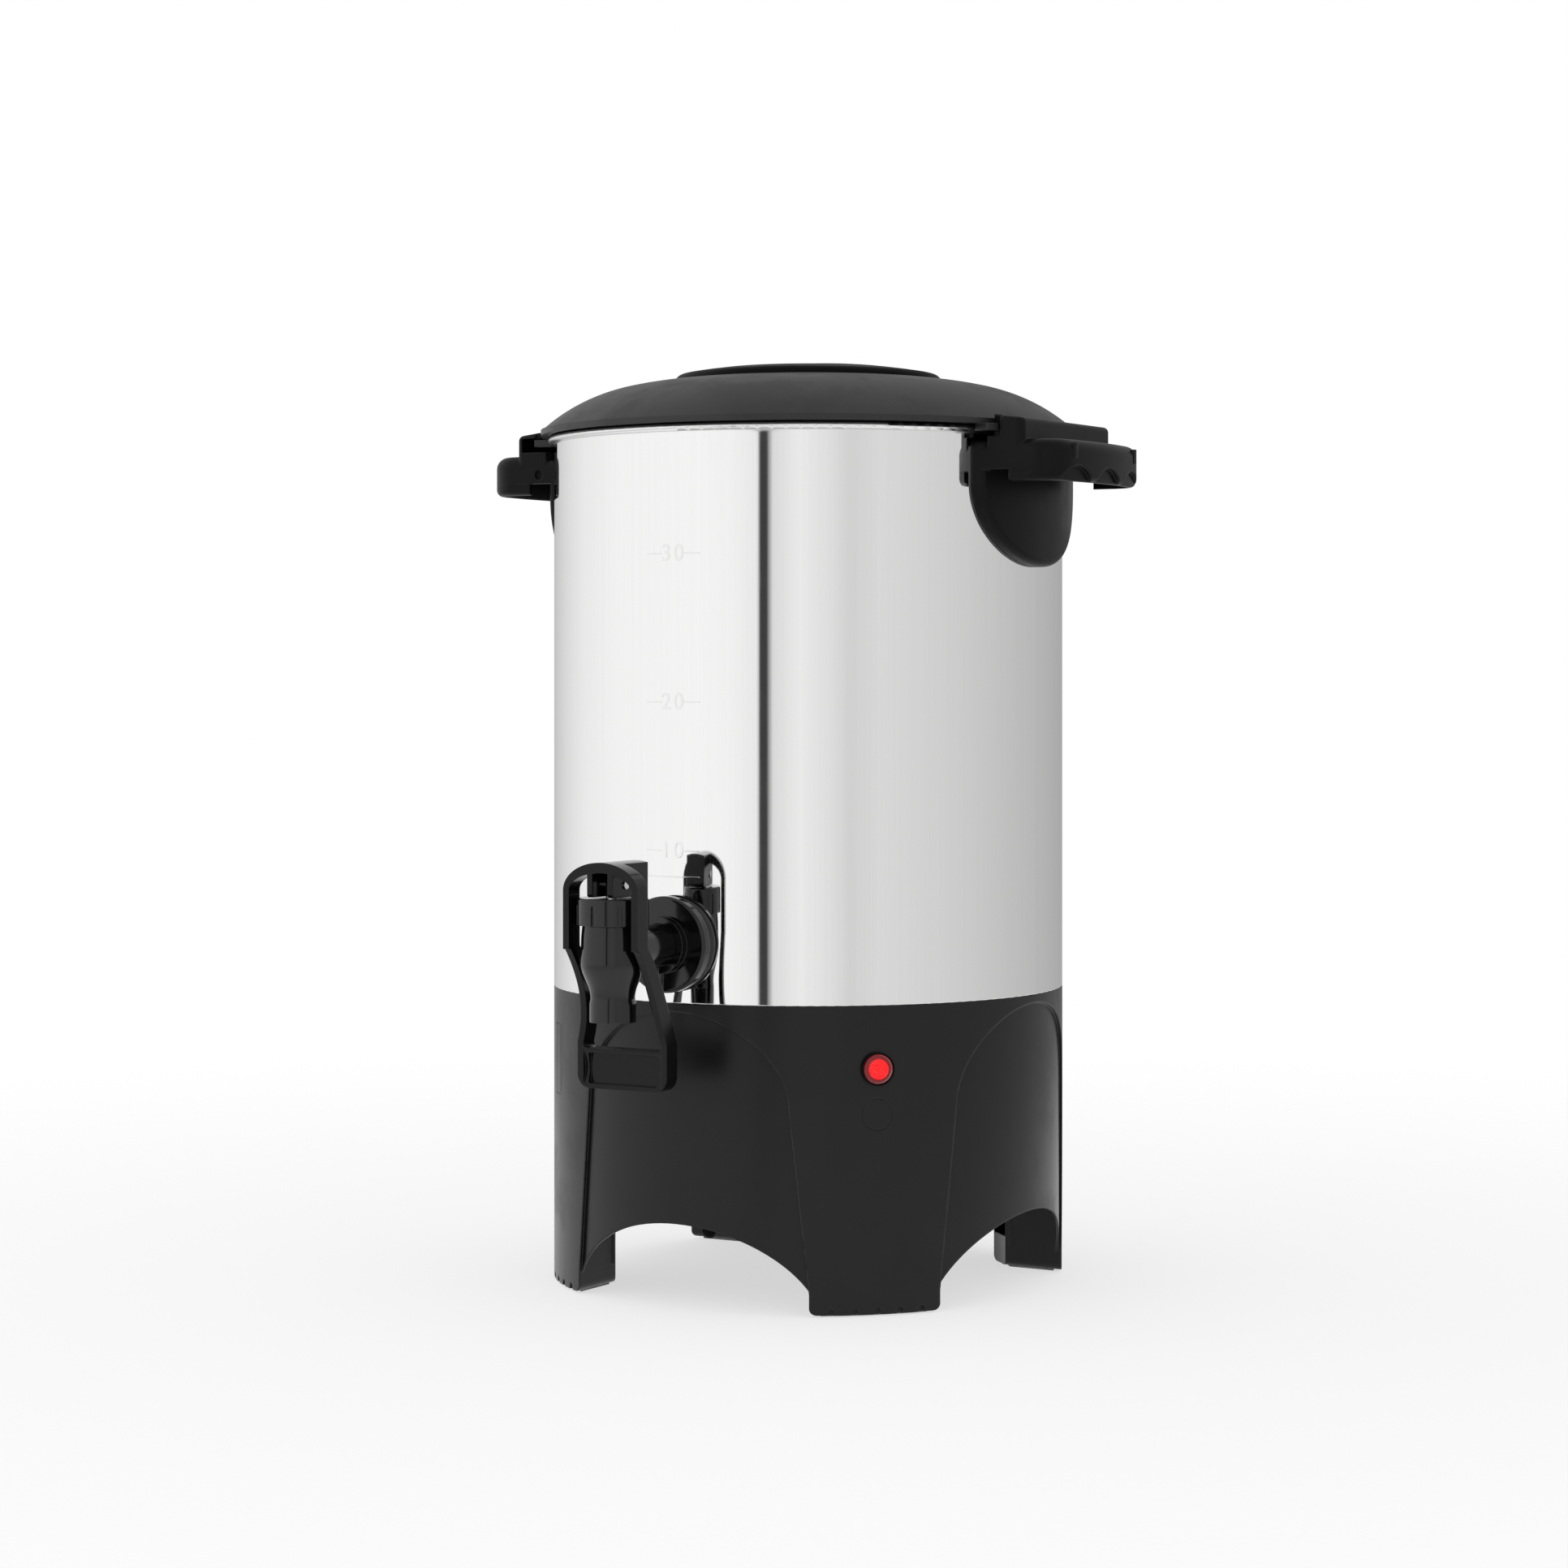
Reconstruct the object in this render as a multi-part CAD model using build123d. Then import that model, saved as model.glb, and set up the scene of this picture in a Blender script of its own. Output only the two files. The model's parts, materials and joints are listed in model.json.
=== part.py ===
"""Percolating coffee urn with a push-back tap, a twist-lock lid and two side handles.

Millimetres, +Z up. The urn's axis is the Z axis, the floor is z = 0 and the tap faces -Y.
A bearing is an angle about +Z counted from the tap, positive towards +X. Pieces that stand at a
bearing are modelled facing -Y, with their radial distance along -Y, and are then turned to it.
"""

from build123d import *
from math import asin, cos, radians, sin, sqrt
import os

# ---------------------------------------------------------------- clearances
SEAT_GAP = 0.1          # between a piece and the piece that it is fastened to
SLIDE_GAP = 0.3         # between pieces that pass each other
BORE_GAP = 0.05         # radial, round a turning or sliding shaft
OVERCUT = 2.0           # how far a cutting tool runs past the face it cuts
WELD = 1.0              # how far two shapes of one piece run into each other

# ---------------------------------------------------------------- steel vessel
VESSEL_RADIUS = 95.0
VESSEL_WALL = 0.8
VESSEL_HEIGHT = 203.9   # from its lower edge to the top of the rolled bead
BEAD_RADIUS = 1.3
BEAD_OVERHANG = 0.9     # bead centre outside the wall's outer face
FLOOR_RISE = 3.4        # underside of the floor above the vessel's lower edge
FLOOR_WALL = 0.8
WELL_RADIUS = 22.0
WELL_DEPTH = 24.0

# ---------------------------------------------------------------- base skirt and feet
SKIRT_HEIGHT = 108.6
SKIRT_WALL = 2.5
SKIRT_FLOOR_GAP = 0.6   # the rubber feet lift the skirt's edge off the floor
FOOT_WIDTH = 47.8       # across a foot's outer face
ARCH_HEIGHT = 30.5
ARCH_FOOT_HEIGHT = 7.6  # height at which the arch leaves the foot's upright side
ARCH_ELLIPSE_OUT = 3.9  # the arch's ellipse ends this far past the foot's side
PANEL_RECESS = 1.3
FOOT_CORNER = 2.4
PANEL_LEAN = 6.2        # how far the panel's sides lean in
PANEL_SHOULDER_DROP = 37.6  # below the skirt's top
PANEL_TOP_DROP = 3.1
FOOT_DEPTH = 17.0       # foot box, radially inwards from the skirt's inner face
FOOT_WALL = 2.0
FOOT_RIB = 1.6
FOOT_RIB_ANGLE = 6.0
FOOT_WINDOW_WIDTH = 14.0
FOOT_WINDOW_HEIGHT = 11.0
FOOT_WINDOW_Z = 17.0
FOOT_WINDOW_ROUND = 1.0
PAD_HEIGHT = 8.0
NOTCH_COUNT = 5
NOTCH_PITCH = 5.0       # degrees
NOTCH_WIDTH = 2.5
NOTCH_HEIGHT = 2.3
SPIGOT_HEIGHT = 2.2
SPIGOT_WALL = 2.0
LEDGE_WIDTH = 5.0
LEDGE_HEIGHT = 3.0
FOOT_BEARINGS = (45.0, 135.0, 225.0, 315.0)
ARCH_BEARINGS = (0.0, 90.0, 180.0, 270.0)
KNOCKOUT_DROP = 16.1    # blank lamp place below the lamp
KNOCKOUT_RADIUS = 5.65
MARK_LINE = 0.35        # width and depth of a moulded outline
SWITCH_BLANK_WIDTH = 8.5
SWITCH_BLANK_HEIGHT = 26.0
SWITCH_BLANK_DROP = 12.6    # below the skirt's top
SWITCH_BLANK_BEARING = 315.0

# ---------------------------------------------------------------- base cover and its fixings
COVER_RISE = 0.7        # underside of the cover above the arches
COVER_THICKNESS = 2.0
COVER_VENT_COUNT = 12
COVER_VENT_WIDTH = 3.0
COVER_VENT_LENGTH = 18.0
COVER_VENT_RADIUS = 40.0
STUD_RADIUS = 2.0
STUD_INSET = 22.5       # stud circle inside the skirt's inner face
CAP_NUT_RADIUS = 2.85
CAP_NUT_HEIGHT = 9.0
STUD_IN_NUT = 5.0

# ---------------------------------------------------------------- heaters and controls
BREW_HEATER_WIDTH = 14.0
BREW_HEATER_HEIGHT = 19.0
WARM_HEATER_INNER = 42.0
WARM_HEATER_OUTER = 64.0
WARM_HEATER_THICKNESS = 1.6
CLAMP_THICKNESS = 1.6
HEATER_STUD_RADIUS = 2.5
HEATER_STUD_LENGTH = 12.0
HEATER_NUT_FLATS = 8.0
HEATER_NUT_HEIGHT = 4.5
TAB_WIDTH = 6.3
TAB_THICKNESS = 0.8
TAB_LENGTH = 8.0
THERMOSTAT_RADIUS = 8.0
THERMOSTAT_HEIGHT = 8.0
THERMOSTAT_PLACE = (22.0, 14.0)
FUSE_RADIUS = 2.2
FUSE_LENGTH = 13.0
FUSE_PLACE = (-24.0, 14.0)
TERMINAL_SIZE = (34.0, 14.0, 12.0)
TERMINAL_PLACE = (0.0, 34.0)
TERMINAL_SCREW_PITCH = 10.0
TERMINAL_SCREW_RADIUS = 2.2
WIRE_RADIUS = 1.1
WIRE_BEND = 7.0
WIRE_SPACING = 4.0      # between two wires that enter the same terminal
FUSE_WIRE_Y = -9.0      # lane of the wire between the brewing element and the fuse
FUSE_WIRE_OUT = 10.0    # how far the wire from the fuse leans outwards
FUSE_WIRE_DROP = 24.0
WARM_WIRE_RISE = 12.0   # bend of the warming element's wire above the terminal's level
WARM_WIRE_RUN = 14.0

# ---------------------------------------------------------------- indicator lamp
LAMP_BEARING = 45.0
LAMP_DROP = 22.2        # below the skirt's top
LENS_RADIUS = 5.35
LENS_PROUD = 2.6        # top of the lens in front of the skirt
LENS_SEAT = 0.5         # rear of the lens in front of the skirt
BEZEL_RADIUS = 5.9
BEZEL_DEPTH = 1.6
BARREL_RADIUS = 4.9
BARREL_WALL = 1.0
BARREL_LENGTH = 20.0
NEON_RADIUS = 2.4
NEON_LENGTH = 15.0
RETAINER_RADIUS = 7.5
RETAINER_THICKNESS = 1.5

# ---------------------------------------------------------------- appliance inlet
INLET_DROP = 46.6       # below the skirt's top
INLET_WIDTH = 30.0
INLET_HEIGHT = 22.0
INLET_DEPTH = 22.0
INLET_WALL = 2.4
INLET_LIP = 3.0
INLET_LIP_THICKNESS = 2.0
PIN_RADIUS = 2.4
PIN_HALF_PITCH = 7.0
PIN_LENGTH = 15.0
PIN_TAIL = 6.0

# ---------------------------------------------------------------- lid
LID_OVERHANG = 5.0      # past the vessel's wall
LID_WALL = 2.4
LID_SEAT_GAP = 0.4      # lid's lip above the bead
LID_LIP_HEIGHT = 2.2
LID_LIP_STEP = 0.6
DOME_RISE = 20.4        # above the lip's lower edge
DOME_SHAPE = ((0.737, 0.554), (0.427, 0.844), (0.180, 0.955))   # shares of its run outwards and its rise
PLUG_HEIGHT = 3.5
PLUG_WALL = 2.0
PLUG_CLEARANCE = 1.2
GRIP_RADIUS = 50.0
GRIP_FLANGE = 8.7
GRIP_PROUD = 6.8        # middle of the grip above the dome's upper edge
GRIP_CROWN = 4.5        # how far its face falls towards its edge
DISH_RADIUS = 40.0
DISH_DEPTH = 13.5
GRIP_BAR_WIDTH = 16.0
GRIP_WELL_RADIUS = 36.5
GRIP_FLOOR = 2.0
GRIP_ROUND = 3.0
LUG_HALF_ANGLE = 1.6
LUG_BEARING = 21.2      # from the handle's centre line
LUG_DROP = 2.6          # lug's lower end below the lip
LUG_WALL = 2.0
LUG_REACH = 4.6         # lug's foot past the lid's edge
LUG_FOOT_HEIGHT = 2.6
LID_SCREW_RADIUS = 2.0
LID_SCREW_LENGTH = 15.0
LID_SCREW_HEAD_RADIUS = 4.2
LID_SCREW_HEAD_HEIGHT = 2.4

# ---------------------------------------------------------------- side handles
HANDLE_BEARINGS = {"right": 90.0, "left": 270.0}
SHIELD_THICKNESS = 4.4
SHIELD_HALF_WIDTH = 36.0
SHIELD_HEIGHT = 44.3    # from the grip's top to the shield's lower tip
SHIELD_ROUND_HEIGHT = 29.0
SHIELD_RIM_ROUND = 2.4
GRIP_DROP = 5.6         # top of the grip below the lid's lip
GRIP_HEIGHT = 15.0
GRIP_OUT = 30.0         # outer face from the vessel's wall
GRIP_HALF_WIDTH = 36.0
GRIP_CORNER = 13.0
GRIP_FRONT_RADIUS = 160.0   # of its outer face, in plan
GRIP_WALL = 2.8
GRIP_EDGE_ROUND = 4.5
GRIP_LOW_ROUND = 2.6
FLANK_GAP = 9.5         # the flanks' lower part ends this far from the shield
FLANK_BAND = 4.3        # height of that lower part
FLANK_DEPTH = 0.9       # it lies this far back at the shield
FLANK_RUN = 20.0        # and is flush again this far out
GRIP_RIB = 2.0
GRIP_RIB_HEIGHT = 3.8
GRIP_RIB_PLACES = (-24.0, 0.0, 24.0)
SCALLOP_COUNT = 3
SCALLOP_PITCH = 22.0
SCALLOP_LAND = 3.0      # flat between two scallops
SCALLOP_HEIGHT = 5.6
SCALLOP_DEPTH = 1.7
POCKET_CLOSED_ANGLE = -8.8
POCKET_LUG_ANGLE = 19.0  # the pocket leaves room for the lugs past this angle
POCKET_WALL = 2.5
POCKET_CORNER = 3.0
POCKET_ROOM = 1.0       # between the pocket and the lid or the lug's foot
POCKET_FLOOR = 1.2      # its floor above the grip's top
HOOK_THICKNESS = 2.6
HOOK_ROUND = 2.0
HOOK_SLOPE = 0.12       # fall of the pocket's roof outwards
GATE_RADIUS = 1.8
GATE_DEPTH = 1.4
GATE_DROP = 7.5
HANDLE_SCREW_ANGLE = 9.5
HANDLE_SCREW_DROP = 6.8
HANDLE_SCREW_RADIUS = 2.0
HANDLE_SCREW_LENGTH = 11.0
HANDLE_BOSS_RADIUS = 4.2
HANDLE_BOSS_LENGTH = 5.0
HANDLE_SCREW_END = 1.0  # room between the screw's tip and the bore's end
SCREW_HEAD_RADIUS = 3.6
SCREW_HEAD_HEIGHT = 2.0
WASHER_RADIUS = 4.6
WASHER_THICKNESS = 1.2

# ---------------------------------------------------------------- tap
TAP_OUT = 38.0          # axis of the tap's body from the vessel's wall
TAP_RISE = 20.8         # shank's axis above the vessel's lower edge
SHANK_RADIUS = 7.5
SHANK_BORE = 4.5
SHANK_INSIDE = 11.0     # length inside the vessel's wall
FLANGE_RADIUS = 17.0
FLANGE_THICKNESS = 4.0
FLANGE_STEP_RADIUS = 10.0
FLANGE_STEP = 3.0
FLANGE_ROUND = 1.2
OUTER_GASKET = 2.2
OUTER_GASKET_INSET = 0.6
INNER_GASKET = 2.6
INNER_GASKET_RADIUS = 12.0
TAP_NUT_RADIUS = 12.5
TAP_NUT_THICKNESS = 6.0
TAP_NUT_LUGS = 6
TAP_NUT_NOTCH = 3.1     # radius of a notch between two lugs
TAP_NUT_NOTCH_OUT = 1.9  # notch's centre outside the nut
BODY_TOP_RISE = 9.0     # above the shank's axis
BODY_TOP_RADIUS = 10.4
BODY_BELLY_RADIUS = 11.0
BODY_BELLY_DROP = 5.4   # height under the shank's axis where the belly starts
BODY_WAIST_RADIUS = 9.0
BODY_WAIST_RISE = 5.5   # above the nozzle's top
BODY_NECK_RADIUS = 7.7
NECK_STEP = 0.6         # neck inside the bonnet, smaller than the body's top
NOZZLE_RADIUS = 8.0
NOZZLE_TOP_DROP = 16.4  # below the shank's axis
NOZZLE_SHOULDER = 1.5
NOZZLE_LENGTH = 7.9
NOZZLE_BORE = 5.6
SEAT_DROP = 9.8         # below the shank's axis
CHAMBER_RADIUS = 7.3
BONNET_RADIUS = 12.4
BONNET_HEIGHT = 9.3
BONNET_CAP = 3.0        # thickness of the bonnet's crown
BONNET_GROOVES = 8
BONNET_GROOVE_WIDTH = 1.6
BONNET_GROOVE_DEPTH = 0.7
BONNET_GROOVE_DROP = 2.2    # top of a groove below the bonnet's top
BONNET_ROUND = 0.8
BONNET_OVERLAP = 5.0    # the body's neck inside the bonnet
STEM_RADIUS = 2.5
CUP_RADIUS = 6.8
CUP_HEIGHT = 5.0
CUP_ROUND = 1.5
SPRING_RADIUS = 4.4
SPRING_WIRE = 0.45
SPRING_TURNS = 5
O_RING_RADIUS = 0.9

# ---------------------------------------------------------------- tap lever
LEVER_RISE = 12.3       # above the bonnet
LEVER_CROWN = 9.8       # height of its half-elliptical top
LEVER_HALF_WIDTH = 15.15
LEVER_ARM = 2.4
LEVER_FRONT = 8.1       # front face ahead of the stem's axis
LEVER_DEPTH = 6.8
LEVER_BAND = 3.6
LEVER_BEND_RISE = 0.6   # bend of the arms above the shank's axis
LEVER_STEP = 1.2        # the arms start this far behind the arch's front face
LEVER_SWEEP = 13.7      # how far the crossbar stands behind the arch
LEVER_KNEE = 1.0        # rear bends above the front ones
LEVER_FLARE_DROP = 10.0  # the arms start to flare this far below the shank's axis
LEVER_FLARE_HALF = 18.3
LEVER_FLARE_END = 2.0   # end of the flare above the crossbar
LEVER_BAR_DROP = 10.1   # top of the crossbar below the nozzle's mouth
LEVER_BAR_HEIGHT = 14.0
LEVER_BAR_ROUND = 5.0
LEVER_WINDOW_ROUND = 1.5
LEVER_DISH_RADIUS = 14.0
LEVER_DISH_DEPTH = 1.4
LEVER_PANEL_RIM = 1.7    # plain edge round the sunk panel in the crossbar
LEVER_PANEL_DEPTH = 0.8
LEVER_PANEL_ROUND = 1.0
EAR_GAP = 6.4           # between the two ears that hold the stem
EAR_THICKNESS = 2.0
EAR_BACK = 14.1         # rear of the ears behind the stem's axis
STEM_ROOM = 1.5         # between the stem and the bridge behind it
HINGE_PIN_RISE = 4.5    # above the bonnet
HINGE_PIN_RADIUS = 1.5
HINGE_PIN_PROUD = 0.6
HEEL_ROUND = 1.2

# ---------------------------------------------------------------- brewing parts
PUMP_TUBE_RADIUS = 4.0
PUMP_TUBE_WALL = 0.8
PUMP_TUBE_DROP = 6.9    # tube's top below the lid's lip
PUMP_FOOT_RADIUS = 20.5
PUMP_FOOT_HEIGHT = 13.0
PUMP_FOOT_WALL = 1.0
PUMP_FOOT_LIP = 2.0
PUMP_FOOT_COLLAR = 2.0  # width of its top round the tube
PUMP_SLOT_WIDTH = 4.0
PUMP_SLOT_HEIGHT = 1.0
PUMP_SHOULDER_RADIUS = 6.5
PUMP_SHOULDER_HEIGHT = 3.0
BASKET_RADIUS = 60.0
BASKET_HEIGHT = 56.0
BASKET_DROP = 70.0      # basket's floor below the tube's top
BASKET_WALL = 0.8
BASKET_RIM = 2.0
BASKET_SLEEVE_RADIUS = 5.6
BASKET_HOLE_RADIUS = 2.2    # drain holes, larger and fewer than the real ones
BASKET_HOLE_RINGS = {20.0: 8, 32.0: 12, 44.0: 18, 54.0: 22}
SPREADER_THICKNESS = 1.0
SPREADER_RIM_DEPTH = 3.0
SPREADER_CROWN = 3.0
SPREADER_HOLE_RADIUS = 2.0
SPREADER_HOLE_RINGS = {18.0: 8, 30.0: 12, 42.0: 16}

# ---------------------------------------------------------------- worked-out heights and radii
BOTTOM = (Align.CENTER, Align.CENTER, Align.MIN)
VESSEL_LOW = SKIRT_HEIGHT
VESSEL_INNER = VESSEL_RADIUS - VESSEL_WALL
BEAD_Z = VESSEL_LOW + VESSEL_HEIGHT - BEAD_RADIUS
FLOOR_Z = VESSEL_LOW + FLOOR_RISE
FLOOR_TOP = FLOOR_Z + FLOOR_WALL
WELL_LOW = FLOOR_TOP - WELL_DEPTH - FLOOR_WALL
SKIRT_INNER = VESSEL_RADIUS - SKIRT_WALL
ARCH_HALF_WIDTH = VESSEL_RADIUS * sin(radians(45) - asin(FOOT_WIDTH / 2 / VESSEL_RADIUS))
PANEL_SHOULDER_Z = SKIRT_HEIGHT - PANEL_SHOULDER_DROP
PANEL_SHOULDER_HALF = ARCH_HALF_WIDTH - PANEL_LEAN
PANEL_TOP_Z = SKIRT_HEIGHT - PANEL_TOP_DROP
COVER_Z = ARCH_HEIGHT + COVER_RISE
STUD_CIRCLE = SKIRT_INNER - STUD_INSET
LAMP_Z = SKIRT_HEIGHT - LAMP_DROP
INLET_Z = SKIRT_HEIGHT - INLET_DROP
LIP_Z = VESSEL_LOW + VESSEL_HEIGHT + LID_SEAT_GAP
LID_RADIUS = VESSEL_RADIUS + LID_OVERHANG
DOME_EDGE = LIP_Z + DOME_RISE
GRIP_FACE = DOME_EDGE + GRIP_PROUD
GRIP_SEAT = GRIP_FACE - GRIP_FLANGE
DISH_Z = GRIP_SEAT - DISH_DEPTH
LUG_Z = LIP_Z - LUG_DROP
LUG_OUTER = LID_RADIUS + LUG_REACH
GRIP_TOP_Z = LIP_Z - GRIP_DROP
GRIP_REACH = VESSEL_RADIUS + GRIP_OUT
SHIELD_INNER = VESSEL_RADIUS + SEAT_GAP
SHIELD_OUTER = SHIELD_INNER + SHIELD_THICKNESS
SHIELD_TIP_Z = GRIP_TOP_Z - SHIELD_HEIGHT
POCKET_INNER = LID_RADIUS + POCKET_ROOM
POCKET_REACH = LUG_OUTER + POCKET_ROOM + POCKET_WALL
TAP_REACH = VESSEL_RADIUS + TAP_OUT
TAP_Z = VESSEL_LOW + TAP_RISE
BODY_TOP_Z = TAP_Z + BODY_TOP_RISE
NOZZLE_TOP_Z = TAP_Z - NOZZLE_TOP_DROP
NOZZLE_MOUTH_Z = NOZZLE_TOP_Z - NOZZLE_LENGTH
SEAT_Z = TAP_Z - SEAT_DROP
CLAMP_Z = WELL_LOW - CLAMP_THICKNESS
BONNET_TOP = BODY_TOP_Z + BONNET_HEIGHT
EAR_LOW = BONNET_TOP + SLIDE_GAP
HINGE_PIN_Z = BONNET_TOP + HINGE_PIN_RISE
LEVER_TOP_Z = BONNET_TOP + LEVER_RISE
LEVER_BEND_Z = TAP_Z + LEVER_BEND_RISE
LEVER_BAR_TOP_Z = NOZZLE_MOUTH_Z - LEVER_BAR_DROP
LEVER_BAR_BOTTOM_Z = LEVER_BAR_TOP_Z - LEVER_BAR_HEIGHT
LEVER_FACE = -TAP_REACH - LEVER_FRONT
CUP_Z = SEAT_Z + BORE_GAP
PUMP_TUBE_TOP_Z = LIP_Z - PUMP_TUBE_DROP
BASKET_Z = PUMP_TUBE_TOP_Z - BASKET_DROP


# ---------------------------------------------------------------- helpers
def disc(radius, low, high):
    """Upright cylinder on the urn's axis."""
    return Pos(0, 0, low) * Cylinder(radius, high - low, align=BOTTOM)


def ring(outer, inner, low, high):
    """Upright tube on the urn's axis."""
    return disc(outer, low, high) - disc(inner, low - OVERCUT, high + OVERCUT)


def block(x, y, z):
    """Box from its (low, high) pair along each axis."""
    low = Pos(x[0], y[0], z[0])
    return low * Box(x[1] - x[0], y[1] - y[0], z[1] - z[0], align=(Align.MIN,) * 3)


def at_bearing(shape, bearing):
    """Turn a piece that faces -Y to its bearing."""
    return Rot(0, 0, bearing) * shape


def radial_rod(radius, near, far, z, side=0.0):
    """Cylinder that runs outwards along -Y, between two distances from the axis."""
    return Pos(side, -near, z) * Rot(90, 0, 0) * Cylinder(radius, far - near, align=BOTTOM)


def front_prism(sketch, near, far):
    """Prism of an (x, z) sketch, between two distances from the axis along -Y."""
    return Pos(0, -near, 0) * extrude(Plane.XZ * sketch, far - near, dir=(0, -1, 0))


def side_prism(sketch, half_width):
    """Prism of a (y, z) sketch, spread evenly along X."""
    return Pos(-half_width, 0, 0) * extrude(Plane.YZ * sketch, 2 * half_width, dir=(1, 0, 0))


def sector(low_angle, high_angle, reach, low, high):
    """Wedge between two bearings, wide enough for angles under 90 degrees."""
    far = 2 * reach
    corners = [(0, 0)] + [(far * sin(radians(a)), -far * cos(radians(a))) for a in (low_angle, high_angle)]
    return Pos(0, 0, low) * extrude(Polygon(*corners, align=None), high - low, dir=(0, 0, 1))


def turned(points):
    """Solid of revolution of an (r, z) outline about the urn's axis."""
    return revolve(Plane.XZ * make_face(Polyline(*points, close=True)), Axis.Z)


def whole(shape):
    """The shape as one solid where its solids join."""
    solids = shape.solids()
    return solids[0] if len(solids) == 1 else shape


# ---------------------------------------------------------------- steel vessel
def vessel_shell():
    """Straight steel wall with a rolled bead round its mouth, and holes for the tap and the handles."""
    wall = ring(VESSEL_RADIUS, VESSEL_INNER, VESSEL_LOW, BEAD_Z)
    bead = Pos(0, 0, BEAD_Z) * Torus(VESSEL_INNER + VESSEL_WALL + BEAD_OVERHANG, BEAD_RADIUS)
    shell = wall + bead
    shell -= radial_rod(SHANK_RADIUS + SEAT_GAP, VESSEL_INNER - OVERCUT, VESSEL_RADIUS + OVERCUT, TAP_Z)
    hole_z = GRIP_TOP_Z - HANDLE_SCREW_DROP
    hole = radial_rod(HANDLE_SCREW_RADIUS + SEAT_GAP, VESSEL_INNER - OVERCUT, VESSEL_RADIUS + OVERCUT, hole_z)
    for centre in HANDLE_BEARINGS.values():
        for side in (-1, 1):
            shell -= at_bearing(hole, centre + side * HANDLE_SCREW_ANGLE)
    return shell


def vessel_floor():
    """Drawn floor with an edge flange and the round heating well in its middle."""
    outer_well = WELL_RADIUS + FLOOR_WALL
    return (
        ring(VESSEL_INNER, WELL_RADIUS, FLOOR_Z, FLOOR_TOP)
        + ring(VESSEL_INNER, VESSEL_INNER - FLOOR_WALL, VESSEL_LOW, FLOOR_TOP)
        + ring(outer_well, WELL_RADIUS, WELL_LOW, FLOOR_TOP)
        + disc(outer_well, WELL_LOW, WELL_LOW + FLOOR_WALL)
    )


# ---------------------------------------------------------------- base
def arch_outline():
    """Opening between two feet: an elliptical arch on upright sides."""
    centre_z = ARCH_HEIGHT - arch_ellipse_height()
    oval = Pos(0, centre_z) * Ellipse(ARCH_HALF_WIDTH + ARCH_ELLIPSE_OUT, arch_ellipse_height())
    window = Pos(0, -OVERCUT) * Rectangle(
        2 * ARCH_HALF_WIDTH, ARCH_HEIGHT + 2 * OVERCUT, align=(Align.CENTER, Align.MIN)
    )
    return oval & window


def arch_ellipse_height():
    """Upright half-axis that brings the ellipse to the foot's side at the stated height."""
    drop = 1 - sqrt(1 - (ARCH_HALF_WIDTH / (ARCH_HALF_WIDTH + ARCH_ELLIPSE_OUT)) ** 2)
    return (ARCH_HEIGHT - ARCH_FOOT_HEIGHT) / drop


def panel_outline():
    """Recessed panel over an arch: leaning sides under a half ellipse."""
    sides = Polygon(
        (-ARCH_HALF_WIDTH, -OVERCUT),
        (ARCH_HALF_WIDTH, -OVERCUT),
        (ARCH_HALF_WIDTH, ARCH_FOOT_HEIGHT),
        (PANEL_SHOULDER_HALF, PANEL_SHOULDER_Z),
        (-PANEL_SHOULDER_HALF, PANEL_SHOULDER_Z),
        (-ARCH_HALF_WIDTH, ARCH_FOOT_HEIGHT),
        align=None,
    )
    crown = Pos(0, PANEL_SHOULDER_Z) * Ellipse(PANEL_SHOULDER_HALF, PANEL_TOP_Z - PANEL_SHOULDER_Z)
    return sides + crown


def foot_sector(inset, low, high, inner, outer):
    """Corner block of a foot between the planes of its two arches, drawn in by an inset."""
    start, far = ARCH_HALF_WIDTH + inset, 2 * VESSEL_RADIUS
    corner = block((start, far), (start, far), (low, high))
    return ring(outer, inner, low, high) & corner


def foot_box():
    """Walls and ribs of one foot, at bearing 135."""
    deep = SKIRT_INNER - FOOT_DEPTH
    outside = SKIRT_INNER + SKIRT_WALL / 2
    walls = foot_sector(0, SKIRT_FLOOR_GAP, COVER_Z, deep, outside)
    walls -= foot_sector(FOOT_WALL, 0, COVER_Z + OVERCUT, deep + FOOT_WALL, SKIRT_INNER)
    window = front_prism(
        Pos(0, FOOT_WINDOW_Z) * RectangleRounded(FOOT_WINDOW_WIDTH, FOOT_WINDOW_HEIGHT, FOOT_WINDOW_ROUND),
        deep - OVERCUT, deep + FOOT_WALL + OVERCUT,
    )
    walls -= at_bearing(window, 135)
    rib = block((-FOOT_RIB / 2, FOOT_RIB / 2), (-outside, -deep - FOOT_WALL / 2), (PAD_HEIGHT, COVER_Z))
    for side in (-1, 1):
        walls += at_bearing(rib, 135 + side * FOOT_RIB_ANGLE)
    return walls


def notch():
    """Round-topped notch in a foot's lower edge."""
    half = NOTCH_WIDTH / 2
    upright = Rectangle(NOTCH_WIDTH, 2 * (NOTCH_HEIGHT - half))
    shape = upright + Pos(0, NOTCH_HEIGHT - half) * Circle(half)
    return front_prism(Pos(0, SKIRT_FLOOR_GAP) * shape, SKIRT_INNER - OVERCUT / 4, VESSEL_RADIUS + OVERCUT)


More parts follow.
